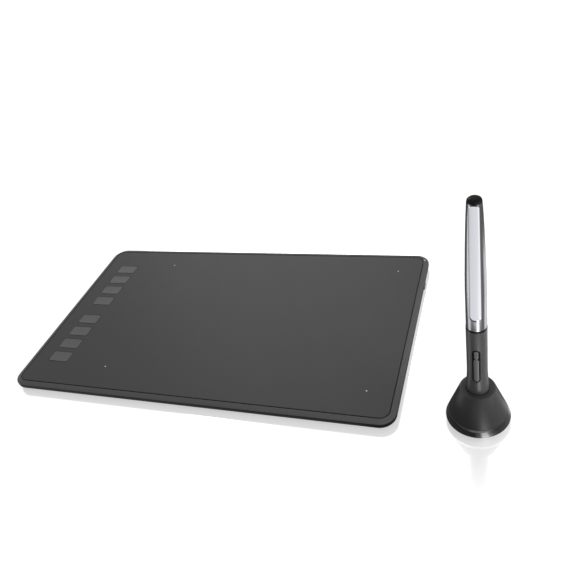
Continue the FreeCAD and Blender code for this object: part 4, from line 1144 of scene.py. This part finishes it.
class SET_OT_studio(PieceOperator, bpy.types.Operator):
    """Set the pale floor, the lamps, the surroundings and the camera"""
    bl_idname = "tablet_set.studio"
    bl_label = "Studio"

    def execute(self, context):
        scene = context.scene
        studio = scene.studio_settings
        scene.view_settings.view_transform = "Standard"
        self.add_floor(studio)
        self.set_world(scene, studio)
        self.add_sun(studio)
        cone_low, cone_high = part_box("stand_cone")
        self.add_softbox("front_softbox", (0.56, -0.86, 0.31), cone_high, (0.4, 0.5),
                         studio.front_watts)
        self.add_softbox("back_softbox", (-0.28, 0.66, 0.56), (0.02, 0.03, 0.008), (0.6, 0.45),
                         studio.back_watts)
        self.add_softbox("side_softbox", (0.45, -0.08, 0.07), cone_low, (0.3, 0.1),
                         studio.side_watts, mirrored=False)
        self.add_softbox("narrow_softbox", (0.149, -0.081, 0.083), (0.178, -0.081, 0.083),
                         (0.016, 0.135), studio.narrow_watts)
        self.add_camera(scene, studio)
        return {"FINISHED"}

    def seen(self, bench):
        """Masks of camera rays, mirror rays and clear rays."""
        paths = bench.node("ShaderNodeLightPath").socket.node.outputs
        return [Wire(bench, paths[name]) for name in
                ("Is Camera Ray", "Is Glossy Ray", "Is Transmission Ray")]

    def bearing(self, bench, across, along):
        """Direction round the pen as 0 to 1: a half to the front, three quarters to the right."""
        turn = bench.maths("ARCTAN2", across, 0.0 - along)
        start = bpy.context.scene.studio_settings.card_turn / math.tau - 1.5
        return bench.maths("FRACT", turn / math.tau - start)

    def cards(self, bench, across, along):
        """Grey level of the far floor by direction: bright cards with dark gaps between."""
        return bench.ramp(self.bearing(bench, across, along), [
            (0.0, 0.04), (0.165, 0.04), (0.2, 0.45), (0.25, 0.7), (0.3, 0.5), (0.335, 0.36),
            (0.41, 0.33), (0.455, 0.9), (0.495, 0.95), (0.52, 1.25), (0.57, 1.25), (0.6, 0.75),
            (0.635, 0.35), (0.7, 0.17), (0.735, 0.12), (0.765, 0.5), (0.8, 0.9), (0.89, 0.9),
            (0.93, 0.45), (0.985, 0.3), (1.0, 0.04)])

    def near_cards(self, bench, across, along):
        """Grey level of the floor close to the stand: one narrow bright card."""
        return bench.ramp(self.bearing(bench, across, along), [
            (0.0, 0.05), (0.47, 0.12), (0.51, 0.8), (0.532, 4.8), (0.556, 4.8), (0.58, 1.3),
            (0.61, 0.4), (0.64, 0.2), (0.76, 0.25), (0.82, 0.8), (0.87, 0.2), (1.0, 0.08)])

    def low_cards(self, bench, across, along):
        """Grey level near the horizon: a bright card at the right, a fainter one at the left."""
        return bench.ramp(self.bearing(bench, across, along), [
            (0.0, 0.3), (0.16, 0.4), (0.22, 1.6), (0.31, 1.8), (0.36, 1.0), (0.41, 0.3),
            (0.45, 0.05), (0.54, 0.05), (0.58, 0.6), (0.62, 2.0), (0.66, 4.0), (0.69, 5.0),
            (0.76, 4.6), (0.8, 1.8), (0.86, 0.5), (1.0, 0.3)])

    def floor_cards(self, bench, across, along):
        """Grey level of the floor in gloss, from the stand's foot outwards.

        The near card gives way to the far ones. Beyond these the right side is dim, so that
        the barrel's right edge darkens towards its top.
        """
        per_metre = 2.5    # so that the ramps end 0.4 m from the stand
        away = (across * across + along * along) ** 0.5 * per_metre
        faded = bench.ramp(away, [(0.09, 1.0), (0.11, 0.8)])
        far = bench.ramp(away, [(0.175, 0.0), (0.205, 1.0)])
        beyond = bench.ramp(away, [(0.46, 0.0), (0.62, 1.0)])
        right = bench.ramp(self.bearing(bench, across, along), [
            (0.735, 0.0), (0.765, 1.0), (0.93, 1.0), (0.985, 0.0)])
        cards = self.cards(bench, across, along) * (1.0 - beyond * right * 0.85)
        return self.near_cards(bench, across, along) * faded * (1.0 - far) + cards * far

    def off_set(self, bench, x, y):
        """Distance on the floor from the tablet or the stand, whichever is nearer."""
        low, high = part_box("bottom_cover")
        beyond = []
        for along, start, end in ((x, low.x, high.x), (y, low.y, high.y)):
            off = bench.maths("ABSOLUTE", along - (start + end) / 2)
            beyond.append(bench.maths("MAXIMUM", off - (end - start) / 2, 0.0))
        tablet = (beyond[0] * beyond[0] + beyond[1] * beyond[1]) ** 0.5
        low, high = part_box("stand_base")
        x, y = x - (low.x + high.x) / 2, y - (low.y + high.y) / 2
        stand = (x * x + y * y) ** 0.5 - (high.x - low.x) / 2
        return bench.maths("MINIMUM", tablet, stand)

    def add_floor(self, studio):
        """White floor, clear from below, with the shadows and near the set a faint mirror image."""
        bm = bmesh.new()
        bmesh.ops.create_grid(bm, x_segments=1, y_segments=1, size=FLOOR_REACH)
        floor = placed("studio_floor", meshed("studio_floor", bm))
        material = bpy.data.materials.new("floor_white")
        material.use_nodes = True
        floor.data.materials.append(material)
        bench = Bench(material.node_tree)
        bench.tree.nodes.clear()
        camera, glossy, clear = self.seen(bench)
        place = bench.node("ShaderNodeNewGeometry")
        x, y, _ = bench.parts(place)
        low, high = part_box("stand_base")
        level = self.floor_cards(bench, x - (low.x + high.x) / 2, y - (low.y + high.y) / 2)
        near = bench.ramp(self.off_set(bench, x, y) / studio.gloss_reach, [(0.0, 1.0), (1.0, 0.0)])
        share = near * studio.floor_gloss
        lamp_level = 0.85    # what the lamps give a level white sheet
        lit = lamp_level * studio.floor_white
        glow = (studio.floor_lift + share * (lit - studio.sky_gloss)) / (1.0 - share)
        lift = bench.node("ShaderNodeEmission", None,
                          {"Color": WHITE, "Strength": (camera + clear) * glow})
        paper = bench.node("ShaderNodeBsdfDiffuse", None,
                           {"Color": (*[studio.floor_white] * 3, 1.0)})
        mirror = bench.node("ShaderNodeBsdfGlossy", None, {"Color": WHITE, "Roughness": 0.1})
        plain = bench.node("ShaderNodeAddShader", None, [lift, paper])
        sheet = bench.node("ShaderNodeMixShader", None, [camera * share, plain, mirror])
        card = bench.node("ShaderNodeEmission", None, {"Color": WHITE, "Strength": level})
        above = bench.node("ShaderNodeMixShader", None, [glossy, sheet, card])
        below = Wire(bench, place.socket.node.outputs["Backfacing"])
        gone = bench.node("ShaderNodeBsdfTransparent")
        both = bench.node("ShaderNodeMixShader", None, [below, above, gone])
        bench.node("ShaderNodeOutputMaterial", None, {"Surface": both})

    def set_world(self, scene, studio):
        """White surroundings, with cards near the horizon for gloss and an even fill elsewhere."""
        world = bpy.data.worlds.new("studio_world")
        world.use_nodes = True
        scene.world = world
        bench = Bench(world.node_tree)
        bench.tree.nodes.clear()
        camera, glossy, clear = self.seen(bench)
        x, y, height = bench.parts(bench.node("ShaderNodeTexCoord"))
        above = bench.ramp(height, [(0.05, 0.0), (0.2, 1.0)])
        level = self.low_cards(bench, x, y) * (1.0 - above) + above * studio.sky_gloss
        others = 1.0 - camera - clear - glossy
        strength = camera + clear + glossy * level + others * studio.fill
        light = bench.node("ShaderNodeBackground", None, {"Color": WHITE, "Strength": strength})
        bench.node("ShaderNodeOutputWorld", None, {"Surface": light})

    def add_lamp(self, name, kind, place, target, mirrored, **settings):
        """Lamp at a place, pointed at a target. It may be kept out of the gloss."""
        light = bpy.data.lights.new(name, kind)
        for setting, value in settings.items():
            setattr(light, setting, value)
        lamp = placed(name, light)
        lamp.visible_camera, lamp.visible_glossy = False, mirrored
        lamp.location = place
        lamp.rotation_euler = (Vector(place) - Vector(target)).to_track_quat("Z", "Y").to_euler()

    def add_sun(self, studio):
        """Wide, even light from overhead."""
        self.add_lamp("overhead_light", "SUN", (0.3, 0.1, 1.0), (0, 0, 0), False,
                      energy=studio.sun_power, angle=math.radians(60.0))

    def add_softbox(self, name, place, target, size, watts, mirrored=True):
        """Soft rectangular lamp that faces a point."""
        self.add_lamp(name, "AREA", place, target, mirrored, shape="RECTANGLE", size=size[0],
                      size_y=size[1], energy=watts)

    def add_camera(self, scene, studio):
        """Camera at the photograph's angle."""
        lens = bpy.data.cameras.new("photo_camera")
        lens.lens, lens.sensor_width = studio.lens, 36.0
        camera = placed("photo_camera", lens)
        level = math.cos(studio.elevation)
        away = Vector((math.sin(studio.azimuth) * level, -math.cos(studio.azimuth) * level,
                       math.sin(studio.elevation)))
        camera.location = Vector(studio.aim) + away * studio.distance
        roll = Quaternion((0, 0, 1), -studio.roll)
        camera.rotation_euler = (away.to_track_quat("Z", "Y") @ roll).to_euler()
        scene.camera = camera


class SET_PT_pieces(bpy.types.Panel):
    """Pieces, sizes and finishes of the tablet set"""
    bl_idname = "SET_PT_pieces"
    bl_label = "Tablet Set"
    bl_space_type = "VIEW_3D"
    bl_region_type = "UI"
    bl_category = "Tablet Set"

    def draw(self, context):
        layout = self.layout
        for operator in OPERATORS:
            layout.operator(operator.bl_idname)
        for title, group in GROUPS.items():
            box = layout.box()
            box.label(text=title.replace("_", " ").capitalize())
            values = getattr(context.scene, title)
            for name in group.__annotations__:
                box.prop(values, name)


GROUPS = {"tablet_sizes": TabletSizes, "stand_sizes": StandSizes, "pen_sizes": PenSizes,
          "set_finishes": Finishes, "studio_settings": StudioSettings}
OPERATORS = (SET_OT_rim, SET_OT_face, SET_OT_keys, SET_OT_lower_case, SET_OT_feet,
             SET_OT_fittings, SET_OT_stand, SET_OT_pen_body, SET_OT_pen_controls,
             SET_OT_pen_inside, SET_OT_studio)


def register():
    """Register the classes and hang the settings on the scene."""
    for group in (*GROUPS.values(), *OPERATORS, SET_PT_pieces):
        bpy.utils.register_class(group)
    for name, group in GROUPS.items():
        setattr(bpy.types.Scene, name, PointerProperty(type=group))


def unregister():
    """Take the settings off the scene and unregister the classes."""
    for name in GROUPS:
        delattr(bpy.types.Scene, name)
    for group in reversed((*GROUPS.values(), *OPERATORS, SET_PT_pieces)):
        bpy.utils.unregister_class(group)


def main():
    register()
    for operator in OPERATORS:
        area, name = operator.bl_idname.split(".")
        getattr(getattr(bpy.ops, area), name)()


if __name__ == "__main__":
    main()
